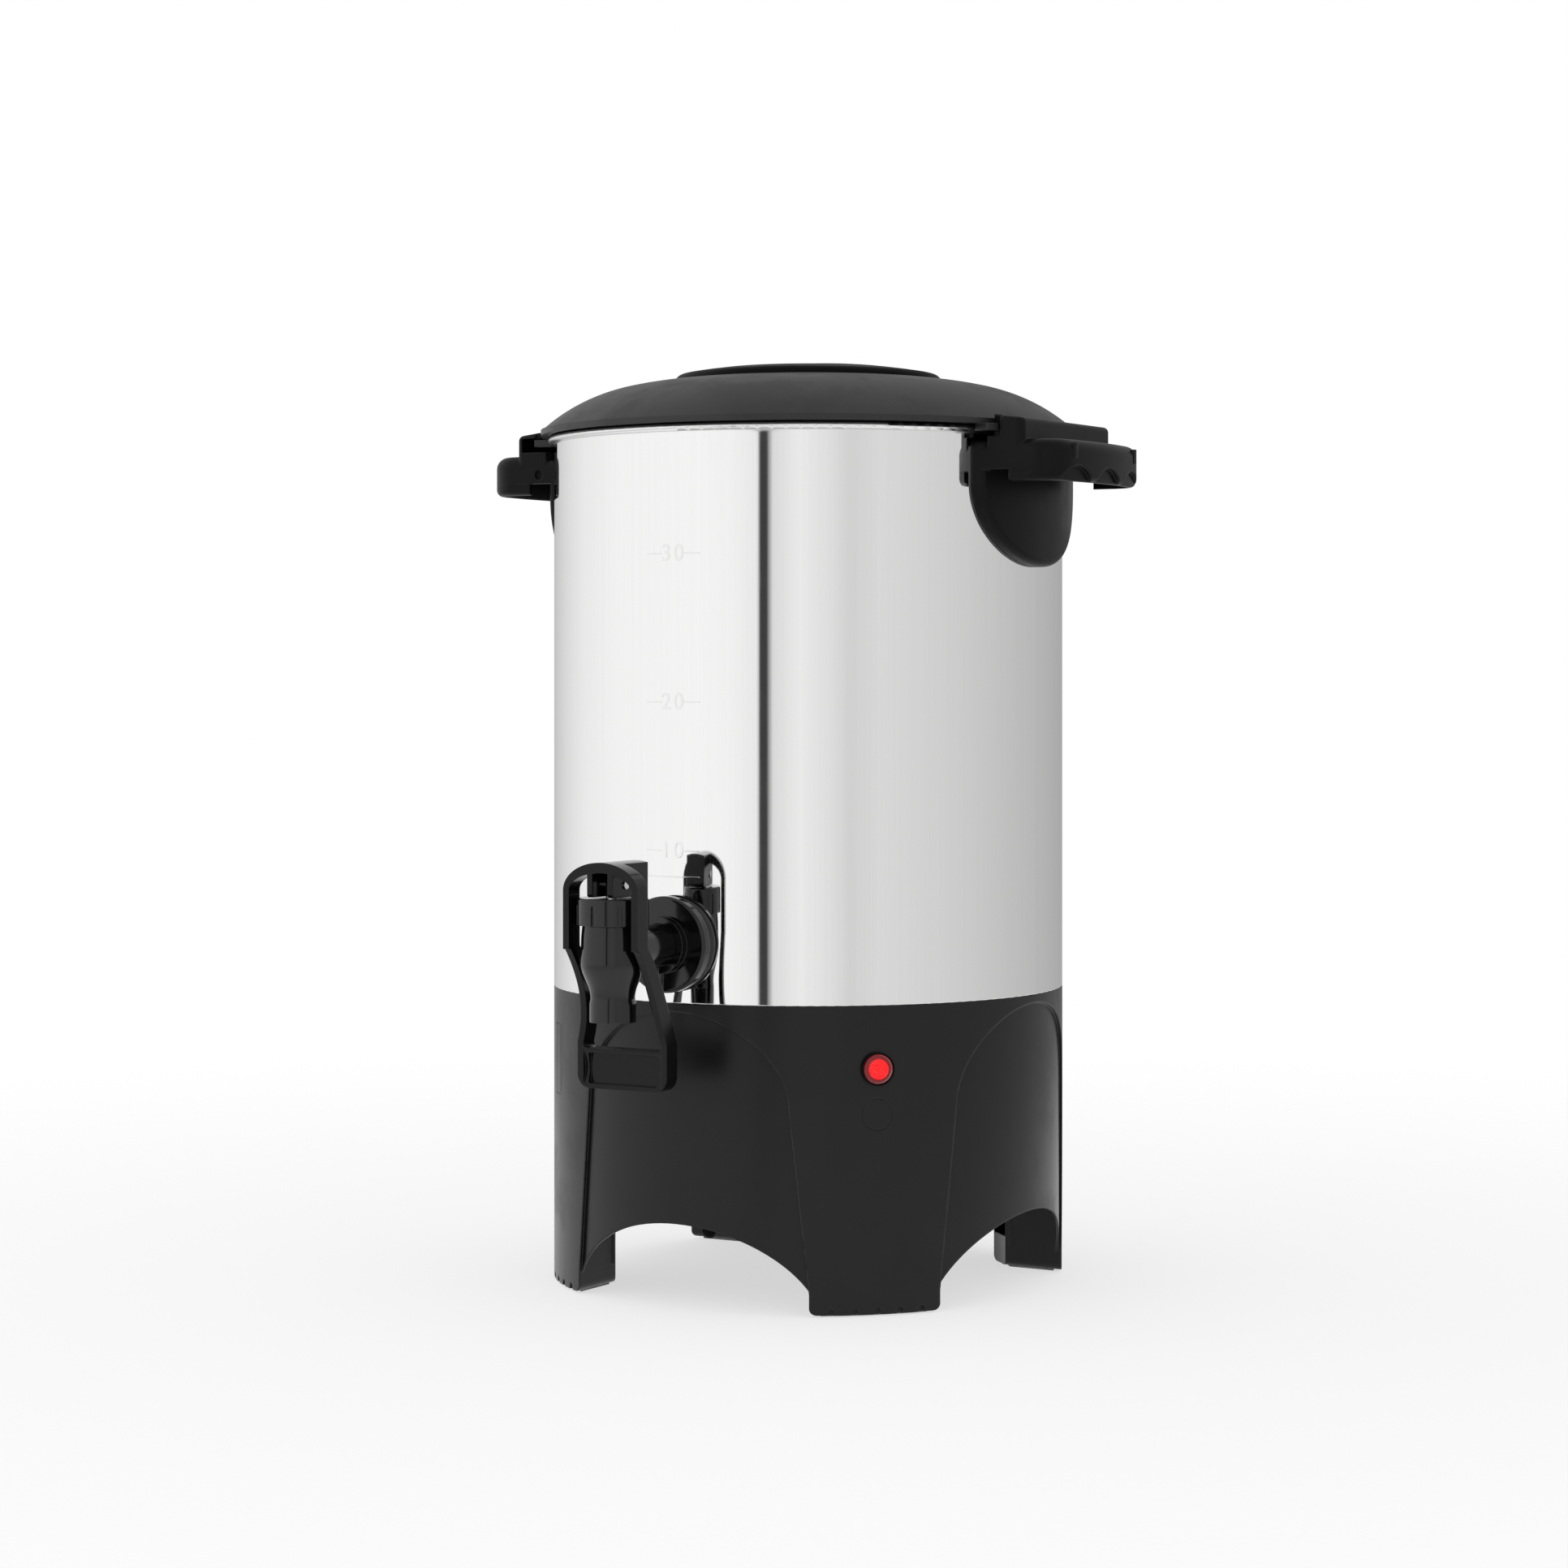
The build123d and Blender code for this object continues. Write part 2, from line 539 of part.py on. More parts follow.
def foot_corners():
    """Waste outside the rounded lower corners of the feet either side of one arch."""
    low, high = SKIRT_FLOOR_GAP - OVERCUT, SKIRT_FLOOR_GAP + FOOT_CORNER
    edge, centre = ARCH_HALF_WIDTH - OVERCUT, ARCH_HALF_WIDTH + FOOT_CORNER
    corners = []
    for side in (-1, 1):
        square = Polygon((side * edge, low), (side * centre, low), (side * centre, high), (side * edge, high),
                         align=None)
        corners.append(square - Pos(side * centre, high) * Circle(FOOT_CORNER))
    return [front_prism(corner, SKIRT_INNER / 2, VESSEL_RADIUS + OVERCUT) for corner in corners]


def moulded_circle(radius, z):
    """Shallow round groove in the skirt's outer face."""
    groove = radial_rod(radius, VESSEL_RADIUS - MARK_LINE, VESSEL_RADIUS + OVERCUT, z)
    return groove - radial_rod(radius - MARK_LINE, 0, VESSEL_RADIUS + 2 * OVERCUT, z)


def switch_blank():
    """Shallow groove round the blank switch place."""
    width, height = SWITCH_BLANK_WIDTH, SWITCH_BLANK_HEIGHT
    outline = Rectangle(width, height) - Rectangle(width - 2 * MARK_LINE, height - 2 * MARK_LINE)
    outline = Pos(0, SKIRT_HEIGHT - SWITCH_BLANK_DROP - height / 2) * outline
    return front_prism(outline, VESSEL_RADIUS - MARK_LINE, VESSEL_RADIUS + OVERCUT)


def base_skirt():
    """Moulded skirt that carries the vessel, cut by four arches into four feet."""
    skirt = ring(VESSEL_RADIUS, SKIRT_INNER, SKIRT_FLOOR_GAP, SKIRT_HEIGHT)
    arch = front_prism(arch_outline(), SKIRT_INNER / 2, VESSEL_RADIUS + OVERCUT)
    panel = front_prism(panel_outline(), SKIRT_INNER / 2, VESSEL_RADIUS + OVERCUT)
    panel -= disc(VESSEL_RADIUS - PANEL_RECESS, -OVERCUT, SKIRT_HEIGHT + OVERCUT)
    for bearing in ARCH_BEARINGS:
        skirt -= at_bearing(panel, bearing)
        skirt -= at_bearing(arch, bearing)
    skirt += ring(SKIRT_INNER, SKIRT_INNER - LEDGE_WIDTH,
                  COVER_Z + COVER_THICKNESS, COVER_Z + COVER_THICKNESS + LEDGE_HEIGHT)
    spigot_outer = VESSEL_INNER - FLOOR_WALL - SEAT_GAP
    spigot_inner = spigot_outer - SPIGOT_WALL
    skirt += ring(spigot_outer, spigot_inner, SKIRT_HEIGHT - LEDGE_HEIGHT, SKIRT_HEIGHT + SPIGOT_HEIGHT)
    box = foot_box()
    for index, bearing in enumerate(FOOT_BEARINGS):
        skirt += at_bearing(box, 90 * index)
        for step in range(NOTCH_COUNT):
            aside = (step - (NOTCH_COUNT - 1) / 2) * NOTCH_PITCH
            skirt -= at_bearing(notch(), bearing + aside)
    for bearing in ARCH_BEARINGS:
        for corner in foot_corners():
            skirt -= at_bearing(corner, bearing)
    lamp_hole = radial_rod(BARREL_RADIUS + SEAT_GAP, SKIRT_INNER - OVERCUT, VESSEL_RADIUS + OVERCUT, LAMP_Z)
    skirt -= at_bearing(lamp_hole, LAMP_BEARING)
    skirt -= at_bearing(moulded_circle(KNOCKOUT_RADIUS, LAMP_Z - KNOCKOUT_DROP), LAMP_BEARING)
    skirt -= at_bearing(switch_blank(), SWITCH_BLANK_BEARING)
    opening = Pos(0, INLET_Z) * Rectangle(INLET_WIDTH + 2 * SEAT_GAP, INLET_HEIGHT + 2 * SEAT_GAP)
    skirt -= at_bearing(front_prism(opening, SKIRT_INNER / 2, VESSEL_RADIUS + OVERCUT), 180)
    return whole(skirt)


def foot_pads():
    """Four rubber pads, each pushed into the bottom of a foot."""
    inner = SKIRT_INNER - FOOT_DEPTH + FOOT_WALL + SEAT_GAP
    pad = foot_sector(FOOT_WALL + SEAT_GAP, 0, PAD_HEIGHT, inner, SKIRT_INNER - SEAT_GAP)
    return Compound(children=[whole(at_bearing(pad, 90 * index)) for index in range(4)])


def base_cover():
    """Round plate under the electrical parts, with vents and four stud holes."""
    cover = disc(SKIRT_INNER - SEAT_GAP, COVER_Z, COVER_Z + COVER_THICKNESS)
    vent = Pos(COVER_VENT_RADIUS, 0, COVER_Z + COVER_THICKNESS / 2) * extrude(
        SlotOverall(COVER_VENT_LENGTH, COVER_VENT_WIDTH), COVER_THICKNESS, both=True
    )
    for index in range(COVER_VENT_COUNT):
        cover -= Rot(0, 0, (index + 0.5) * 360 / COVER_VENT_COUNT) * vent
    hole = disc(STUD_RADIUS + SEAT_GAP, COVER_Z - OVERCUT, COVER_Z + 2 * OVERCUT)
    for bearing in ARCH_BEARINGS:
        cover -= at_bearing(Pos(0, -STUD_CIRCLE, 0) * hole, bearing)
    return cover


def base_studs():
    """Four studs welded under the vessel's floor, which pull the base together."""
    stud = Pos(0, -STUD_CIRCLE, 0) * disc(STUD_RADIUS, COVER_Z - STUD_IN_NUT, FLOOR_Z)
    return Compound(children=[at_bearing(stud, bearing) for bearing in ARCH_BEARINGS])


def base_cap_nuts():
    """Four domed cap nuts under the base cover."""
    low = COVER_Z - CAP_NUT_HEIGHT
    dome_centre = low + CAP_NUT_RADIUS
    nut = disc(CAP_NUT_RADIUS, dome_centre, COVER_Z) + Pos(0, 0, dome_centre) * Sphere(CAP_NUT_RADIUS)
    nut -= disc(STUD_RADIUS, COVER_Z - STUD_IN_NUT, COVER_Z + OVERCUT)
    nut = Pos(0, -STUD_CIRCLE, 0) * nut
    return Compound(children=[whole(at_bearing(nut, bearing)) for bearing in ARCH_BEARINGS])


# ---------------------------------------------------------------- heaters and controls
def brew_heater():
    """Cast ring element round the heating well, with two terminal blades below."""
    inner = WELL_RADIUS + FLOOR_WALL
    outer = inner + BREW_HEATER_WIDTH
    heater = ring(outer, inner, WELL_LOW, WELL_LOW + BREW_HEATER_HEIGHT)
    for side in (-1, 1):
        place = side * (outer - TAB_THICKNESS)
        blade = block(
            (place - TAB_THICKNESS / 2, place + TAB_THICKNESS / 2),
            (-TAB_WIDTH / 2, TAB_WIDTH / 2),
            (WELL_LOW - TAB_LENGTH, WELL_LOW + OVERCUT),
        )
        heater += blade
    return whole(heater)


def warm_heater():
    """Flat mica ring under the vessel's floor, which keeps the coffee warm."""
    low = FLOOR_Z - WARM_HEATER_THICKNESS
    plate = ring(WARM_HEATER_OUTER, WARM_HEATER_INNER, low, FLOOR_Z)
    middle = (WARM_HEATER_OUTER + WARM_HEATER_INNER) / 2
    for side in (-1, 1):
        depth = (-middle - TAB_THICKNESS / 2, -middle + TAB_THICKNESS / 2)
        across = (side * TAB_WIDTH - TAB_WIDTH / 2, side * TAB_WIDTH + TAB_WIDTH / 2)
        plate += block(depth, across, (low - TAB_LENGTH, low + WARM_HEATER_THICKNESS / 2))
    return whole(plate)


def heater_clamp():
    """Pressed plate that holds the brewing element against the well."""
    outer = WELL_RADIUS + FLOOR_WALL + BREW_HEATER_WIDTH - 2 * TAB_THICKNESS - SLIDE_GAP
    return ring(outer, HEATER_STUD_RADIUS + SEAT_GAP, CLAMP_Z, WELL_LOW)


def heater_stud():
    """Stud welded under the well."""
    return disc(HEATER_STUD_RADIUS, WELL_LOW - HEATER_STUD_LENGTH, WELL_LOW)


def heater_nut():
    """Hexagon nut under the clamp plate."""
    hexagon = RegularPolygon(HEATER_NUT_FLATS / 2, 6, major_radius=False)
    nut = Pos(0, 0, CLAMP_Z - HEATER_NUT_HEIGHT) * extrude(hexagon, HEATER_NUT_HEIGHT)
    return nut - disc(HEATER_STUD_RADIUS, CLAMP_Z - 2 * HEATER_NUT_HEIGHT, CLAMP_Z + OVERCUT)


def thermostat():
    """Snap-disc thermostat under the clamp plate, with two blades."""
    low = CLAMP_Z - THERMOSTAT_HEIGHT
    body = disc(THERMOSTAT_RADIUS, low, CLAMP_Z)
    for side in (-1, 1):
        place = side * THERMOSTAT_RADIUS / 2
        body += block(
            (place - TAB_THICKNESS / 2, place + TAB_THICKNESS / 2),
            (-TAB_WIDTH / 2, TAB_WIDTH / 2),
            (low - TAB_LENGTH, low + OVERCUT),
        )
    return Pos(THERMOSTAT_PLACE[0], THERMOSTAT_PLACE[1], 0) * whole(body)


def thermal_fuse():
    """Thermal fuse lying against the clamp plate in its spring clip."""
    x, y = FUSE_PLACE
    centre_z = CLAMP_Z - FUSE_RADIUS - TAB_THICKNESS
    can = radial_rod(FUSE_RADIUS, -FUSE_LENGTH / 2, FUSE_LENGTH / 2, centre_z)
    clip = block((-FUSE_RADIUS, FUSE_RADIUS), (-TAB_WIDTH / 2, TAB_WIDTH / 2), (centre_z, CLAMP_Z))
    return Pos(x, y, 0) * whole(can + clip)


def terminal_block():
    """Screw terminal block on the base cover."""
    length, width, height = TERMINAL_SIZE
    x, y = TERMINAL_PLACE
    low = COVER_Z + COVER_THICKNESS
    body = Pos(0, 0, low) * Box(length, width, height, align=BOTTOM)
    for index in (-1, 0, 1):
        place = index * TERMINAL_SCREW_PITCH
        body -= Pos(place, 0, 0) * disc(TERMINAL_SCREW_RADIUS, low + height / 2, low + height + OVERCUT)
    return Pos(x, y, 0) * body


def wire(points):
    """Insulated wire along straight runs joined by arcs."""
    route = FilletPolyline(*points, radius=WIRE_BEND)
    start = Plane(origin=route @ 0, z_dir=route % 0)
    return sweep(start * Circle(WIRE_RADIUS), route)


def mains_wires():
    """Two wires from the inlet's pins down into the terminal block."""
    tail_y = VESSEL_RADIUS - INLET_DEPTH - PIN_TAIL
    x, y = TERMINAL_PLACE
    slot_floor = COVER_Z + COVER_THICKNESS + TERMINAL_SIZE[2] / 2 + SEAT_GAP
    wires = []
    for side in (-1, 1):
        pin_x, slot_x = side * PIN_HALF_PITCH, x + side * TERMINAL_SCREW_PITCH
        wires.append(wire([
            (pin_x, tail_y, INLET_Z), (pin_x, tail_y - 2 * WIRE_BEND, INLET_Z), (slot_x, y, INLET_Z),
            (slot_x, y, slot_floor),
        ]))
    return Compound(children=wires)


def heater_wires():
    """Wires between the terminal block, the thermostat, the fuse and both heaters."""
    x, y = TERMINAL_PLACE
    level = COVER_Z + COVER_THICKNESS + TERMINAL_SIZE[2] / 2
    front, left = y - TERMINAL_SIZE[1] / 2, x - TERMINAL_SIZE[0] / 2
    pitch = TERMINAL_SCREW_PITCH
    brew_x = WELL_RADIUS + FLOOR_WALL + BREW_HEATER_WIDTH - TAB_THICKNESS
    brew_z = WELL_LOW - TAB_LENGTH
    snap_x, snap_y = THERMOSTAT_PLACE
    snap_z = CLAMP_Z - THERMOSTAT_HEIGHT - TAB_LENGTH
    snap_half = THERMOSTAT_RADIUS / 2
    fuse_x, fuse_y = FUSE_PLACE
    fuse_z = CLAMP_Z - FUSE_RADIUS - TAB_THICKNESS
    fuse_half = FUSE_LENGTH / 2
    warm_x = -(WARM_HEATER_INNER + WARM_HEATER_OUTER) / 2
    warm_z = FLOOR_Z - WARM_HEATER_THICKNESS - TAB_LENGTH
    drop = 2 * WIRE_BEND
    side_x = fuse_x - FUSE_WIRE_OUT
    routes = [
        [(x + pitch, front, level), (x + pitch, snap_y, level), (snap_x + snap_half, snap_y, level),
         (snap_x + snap_half, snap_y, snap_z)],
        [(snap_x - snap_half, snap_y, snap_z), (snap_x - snap_half, snap_y, snap_z - drop),
         (brew_x, 0, snap_z - drop), (brew_x, 0, brew_z)],
        [(-brew_x, 0, brew_z), (-brew_x, 0, brew_z - drop), (fuse_x, FUSE_WIRE_Y, brew_z - drop),
         (fuse_x, FUSE_WIRE_Y, fuse_z), (fuse_x, fuse_y - fuse_half, fuse_z)],
        [(fuse_x, fuse_y + fuse_half, fuse_z), (fuse_x, y, fuse_z), (side_x, y, fuse_z - FUSE_WIRE_DROP),
         (side_x, y, level), (left, y, level)],
        [(warm_x, TAB_WIDTH, warm_z), (warm_x, TAB_WIDTH, level + WARM_WIRE_RISE),
         (warm_x + WARM_WIRE_RUN, y - WIRE_SPACING, level), (left, y - WIRE_SPACING, level)],
        [(warm_x, -TAB_WIDTH, warm_z), (warm_x, -TAB_WIDTH, level), (x - pitch, -TAB_WIDTH, level),
         (x - pitch, front, level)],
    ]
    return Compound(children=[wire(route) for route in routes])


# ---------------------------------------------------------------- indicator lamp
def indicator_lamp_body():
    """Barrel with a front cup for the lens."""
    mouth = VESSEL_RADIUS + BEZEL_DEPTH
    rear = VESSEL_RADIUS - BARREL_LENGTH
    body = radial_rod(BARREL_RADIUS, rear, VESSEL_RADIUS + SEAT_GAP, LAMP_Z)
    body += radial_rod(BEZEL_RADIUS, VESSEL_RADIUS + SEAT_GAP, mouth, LAMP_Z)
    body -= radial_rod(BARREL_RADIUS - BARREL_WALL, rear + BARREL_WALL, mouth + OVERCUT, LAMP_Z)
    body -= radial_rod(LENS_RADIUS + BORE_GAP, VESSEL_RADIUS + LENS_SEAT, mouth + OVERCUT, LAMP_Z)
    return at_bearing(whole(body), LAMP_BEARING)


def indicator_lens():
    """Red lens with a low domed face."""
    low = VESSEL_RADIUS + LENS_SEAT
    edge = VESSEL_RADIUS + BEZEL_DEPTH
    rise = VESSEL_RADIUS + LENS_PROUD - edge
    dome_radius = (LENS_RADIUS ** 2 + rise ** 2) / (2 * rise)
    lens = radial_rod(LENS_RADIUS, low, VESSEL_RADIUS + LENS_PROUD, LAMP_Z)
    dome = Pos(0, -(VESSEL_RADIUS + LENS_PROUD - dome_radius), LAMP_Z) * Sphere(dome_radius)
    return at_bearing(whole(lens & dome), LAMP_BEARING)


def indicator_neon():
    """Neon bulb inside the barrel."""
    rear = VESSEL_RADIUS - BARREL_LENGTH + BARREL_WALL
    stem = radial_rod(NEON_RADIUS, rear, rear + NEON_LENGTH, LAMP_Z)
    tip = Pos(0, -(rear + NEON_LENGTH), LAMP_Z) * Sphere(NEON_RADIUS)
    return at_bearing(whole(stem + tip), LAMP_BEARING)


def indicator_retainer():
    """Push-on ring that holds the lamp behind the skirt's wall."""
    contact = sqrt(SKIRT_INNER ** 2 - RETAINER_RADIUS ** 2) - SEAT_GAP
    near = contact - RETAINER_THICKNESS
    retainer = radial_rod(RETAINER_RADIUS, near, contact, LAMP_Z)
    retainer -= radial_rod(BARREL_RADIUS + BORE_GAP, near - OVERCUT, contact + OVERCUT, LAMP_Z)
    return at_bearing(retainer, LAMP_BEARING)


# ---------------------------------------------------------------- appliance inlet
def inlet_housing():
    """Recessed appliance inlet in the rear panel, with a lip behind the skirt's wall."""
    rear = VESSEL_RADIUS - INLET_DEPTH
    outline = Pos(0, INLET_Z) * Rectangle(INLET_WIDTH, INLET_HEIGHT)
    room = Pos(0, INLET_Z) * Rectangle(INLET_WIDTH - 2 * INLET_WALL, INLET_HEIGHT - 2 * INLET_WALL)
    lip = Pos(0, INLET_Z) * Rectangle(INLET_WIDTH + 2 * INLET_LIP, INLET_HEIGHT + 2 * INLET_LIP)
    lip_far = sqrt(SKIRT_INNER ** 2 - (INLET_WIDTH / 2 + INLET_LIP) ** 2) - SEAT_GAP
    body = front_prism(outline, rear, VESSEL_RADIUS)
    body += front_prism(lip, lip_far - INLET_LIP_THICKNESS, lip_far)
    body &= disc(VESSEL_RADIUS - PANEL_RECESS + SLIDE_GAP, 0, SKIRT_HEIGHT)
    body -= front_prism(room, rear + INLET_WALL, VESSEL_RADIUS + OVERCUT)
    for side in (-1, 1):
        body -= radial_rod(PIN_RADIUS, rear - OVERCUT, VESSEL_RADIUS, INLET_Z, side * PIN_HALF_PITCH)
    return at_bearing(whole(body), 180)


def inlet_pins():
    """Two round contact pins with solder tails behind the housing."""
    rear = VESSEL_RADIUS - INLET_DEPTH
    near, far = rear - PIN_TAIL, rear + PIN_LENGTH
    pins = [radial_rod(PIN_RADIUS, near, far, INLET_Z, side * PIN_HALF_PITCH) for side in (-1, 1)]
    return Compound(children=[at_bearing(pin, 180) for pin in pins])


# ---------------------------------------------------------------- lid
def dome_solid(inset, low):
    """Solid under the dome, drawn in and down by an inset and closed at a level below."""
    edge = (LID_RADIUS - LID_LIP_STEP - inset, LIP_Z + LID_LIP_HEIGHT - inset)
    start, run = GRIP_RADIUS + SLIDE_GAP, LID_RADIUS - LID_LIP_STEP - GRIP_RADIUS - SLIDE_GAP
    mid, shoulder, upper, top = [
        (start + out * run - inset / 2, LIP_Z + rise * DOME_RISE - inset)
        for out, rise in DOME_SHAPE + ((0.0, 1.0),)
    ]
    outline = [
        Line((0, low), (edge[0], low)),
        Line((edge[0], low), edge),
        ThreePointArc(edge, mid, shoulder),
        ThreePointArc(shoulder, upper, top),
        Line(top, (0, top[1])),
        Line((0, top[1]), (0, low)),
    ]
    return revolve(Plane.XZ * make_face(Curve() + outline), Axis.Z)


def lid_lug(bearing):
    """L-shaped lug under the lip, which locks under a handle's hook."""
    upright = ring(LID_RADIUS + BORE_GAP, LID_RADIUS + BORE_GAP - LUG_WALL, LUG_Z, LIP_Z + LID_LIP_HEIGHT / 2)
    foot = ring(LUG_OUTER, LID_RADIUS + BORE_GAP - LUG_WALL, LUG_Z, LUG_Z + LUG_FOOT_HEIGHT)
    wedge = sector(bearing - LUG_HALF_ANGLE, bearing + LUG_HALF_ANGLE, LUG_OUTER, LUG_Z, GRIP_FACE)
    return (upright + foot) & wedge


def lid_shell():
    """Domed lid with a lip, a locating ring, a dish for its grip and four locking lugs."""
    lid = dome_solid(0, LIP_Z) + disc(LID_RADIUS, LIP_Z, LIP_Z + LID_LIP_HEIGHT)
    hollow = dome_solid(LID_WALL, LIP_Z - OVERCUT)
    dish = disc(DISH_RADIUS + LID_WALL, DISH_Z - LID_WALL, GRIP_FACE)
    shelf = disc(GRIP_RADIUS + LID_WALL, GRIP_SEAT - LID_WALL, GRIP_FACE)
    lid = lid - (hollow - dish - shelf)
    plug_outer = VESSEL_INNER - PLUG_CLEARANCE
    lid += ring(plug_outer, plug_outer - PLUG_WALL, LIP_Z - PLUG_HEIGHT, LIP_Z + LID_LIP_HEIGHT)
    lid += ring(LID_RADIUS, plug_outer - PLUG_WALL, LIP_Z, LIP_Z + LID_LIP_HEIGHT)
    lid += disc(DISH_RADIUS + LID_WALL, DISH_Z - LID_WALL, DISH_Z)
    lid -= disc(GRIP_RADIUS + SLIDE_GAP, GRIP_SEAT, GRIP_FACE + OVERCUT)
    lid -= disc(DISH_RADIUS, DISH_Z, GRIP_FACE + OVERCUT)
    lid -= disc(LID_SCREW_RADIUS + BORE_GAP, DISH_Z - LID_WALL - OVERCUT, DISH_Z + OVERCUT)
    for centre in HANDLE_BEARINGS.values():
        for side in (-1, 1):
            lid += lid_lug(centre + side * LUG_BEARING)
    return whole(lid)


def lid_grip():
    """Round insert with two finger wells either side of a grip bar."""
    crown_radius = (GRIP_RADIUS ** 2 + GRIP_CROWN ** 2) / (2 * GRIP_CROWN)
    crown = Pos(0, 0, GRIP_FACE - crown_radius) * Sphere(crown_radius)
    grip = disc(GRIP_RADIUS, GRIP_SEAT, GRIP_FACE) & crown
    rim = grip.edges().filter_by(lambda edge: edge.is_closed).sort_by(Axis.Z)[-1]
    grip = fillet(rim, GRIP_ROUND)
    grip += disc(DISH_RADIUS - SLIDE_GAP, DISH_Z, GRIP_SEAT)
    well = Circle(GRIP_WELL_RADIUS) - Rectangle(2 * GRIP_RADIUS, GRIP_BAR_WIDTH)
    wells = Pos(0, 0, DISH_Z + GRIP_FLOOR) * extrude(well, GRIP_FACE - DISH_Z)
    grip -= wells
    grip -= disc(LID_SCREW_RADIUS + BORE_GAP, DISH_Z - OVERCUT, DISH_Z + LID_SCREW_LENGTH - LID_WALL)
    return whole(grip)


def lid_grip_screw():
    """Screw on the lid's axis, from below into the grip bar."""
    seat = DISH_Z - LID_WALL
    shank = disc(LID_SCREW_RADIUS, seat, seat + LID_SCREW_LENGTH)
    return shank + disc(LID_SCREW_HEAD_RADIUS, seat - LID_SCREW_HEAD_HEIGHT, seat)


# ---------------------------------------------------------------- side handles
def shield_plate():
    """Curved plate against the vessel, with a rounded lower end."""
    top = GRIP_TOP_Z - GRIP_EDGE_ROUND / 2
    round_z = SHIELD_TIP_Z + SHIELD_ROUND_HEIGHT
    upper = Pos(0, round_z) * Rectangle(2 * SHIELD_HALF_WIDTH, top - round_z, align=(Align.CENTER, Align.MIN))
    outline = upper + Pos(0, round_z) * Ellipse(SHIELD_HALF_WIDTH, SHIELD_ROUND_HEIGHT) \
        & Rectangle(2 * SHIELD_HALF_WIDTH, 2 * top)
    plate = front_prism(outline, SHIELD_INNER / 2, SHIELD_OUTER + OVERCUT)
    plate &= disc(SHIELD_OUTER, SHIELD_TIP_Z - OVERCUT, top)
    edges = plate.faces().sort_by(Axis.Y)[0].edges()
    rim = edges.filter_by(lambda edge: edge.center().Z < top - SHIELD_RIM_ROUND)
    return fillet(rim, SHIELD_RIM_ROUND)


def grip_outline(inset):
    """Plan of the grip, drawn in by an inset on its three free sides."""
    half, reach = GRIP_HALF_WIDTH - inset, GRIP_REACH - inset
    near = VESSEL_RADIUS * cos(asin(GRIP_HALF_WIDTH / VESSEL_RADIUS)) / 2
    sketch = Pos(0, -near) * Rectangle(2 * half, reach - near, align=(Align.CENTER, Align.MAX))
    sketch &= Pos(0, GRIP_FRONT_RADIUS - GRIP_REACH) * Circle(GRIP_FRONT_RADIUS - inset)
    outer_corners = sketch.vertices().group_by(Axis.Y)[0]
    return fillet(outer_corners, GRIP_CORNER - inset)


def grip_hollow():
    """Room under the grip, inside its walls and outside the shield plate."""
    low = GRIP_TOP_Z - GRIP_HEIGHT
    hollow = Pos(0, 0, low - OVERCUT) * extrude(grip_outline(GRIP_WALL), GRIP_HEIGHT - GRIP_WALL + OVERCUT)
    return hollow - disc(SHIELD_OUTER, low - 2 * OVERCUT, GRIP_TOP_Z)


def flank_waste():
    """Waste from the lower part of one flank: a gap by the shield and a hollow that dies out."""
    low = GRIP_TOP_Z - GRIP_HEIGHT
    start = SHIELD_OUTER * cos(asin(GRIP_HALF_WIDTH / SHIELD_OUTER))
    across = (GRIP_HALF_WIDTH - GRIP_WALL - OVERCUT, GRIP_HALF_WIDTH + OVERCUT)
    gap = block(across, (-start - FLANK_GAP, 0), (low - OVERCUT, low + FLANK_BAND))
    radius = FLANK_RUN ** 2 / (2 * FLANK_DEPTH)
    centre = Pos(GRIP_HALF_WIDTH - FLANK_DEPTH + radius, -start, low - OVERCUT)
    return [gap, centre * Cylinder(radius, FLANK_BAND + OVERCUT, align=BOTTOM)]


def grip_tray():
    """Grip like an upturned tray: closed top, hollow underside with ribs, and finger scallops."""
    low = GRIP_TOP_Z - GRIP_HEIGHT
    tray = Pos(0, 0, low) * extrude(grip_outline(0), GRIP_HEIGHT)
    tray = fillet(tray.edges().group_by(Axis.Z)[-1], GRIP_EDGE_ROUND)
    tray = fillet(tray.edges().group_by(Axis.Z)[0], GRIP_LOW_ROUND)
    tray -= grip_hollow()
    for waste in flank_waste():
        tray = tray - waste - mirror(waste, about=Plane.YZ)
    rib_top = GRIP_TOP_Z - GRIP_WALL / 2
    rib_low = GRIP_TOP_Z - GRIP_WALL - GRIP_RIB_HEIGHT
    for place in GRIP_RIB_PLACES:
        tray += block(
            (place - GRIP_RIB / 2, place + GRIP_RIB / 2),
            (-GRIP_REACH + GRIP_WALL / 2, -SHIELD_OUTER * cos(asin(place / SHIELD_OUTER)) + WELD),
            (rib_low, rib_top),
        )
    half_chord = (SCALLOP_PITCH - SCALLOP_LAND) / 2
    scallop_radius = (half_chord ** 2 + SCALLOP_HEIGHT ** 2) / (2 * SCALLOP_HEIGHT)
    centre_z = low + SCALLOP_HEIGHT - scallop_radius
    kept = disc(GRIP_FRONT_RADIUS - SCALLOP_DEPTH, low - OVERCUT, GRIP_TOP_Z)
    kept = Pos(0, GRIP_FRONT_RADIUS - GRIP_REACH, 0) * kept
    for index in range(SCALLOP_COUNT):
        place = (index - (SCALLOP_COUNT - 1) / 2) * SCALLOP_PITCH
        near, far = GRIP_REACH - GRIP_CORNER, GRIP_REACH + OVERCUT
        tray -= radial_rod(scallop_radius, near, far, centre_z, place) - kept
    return tray


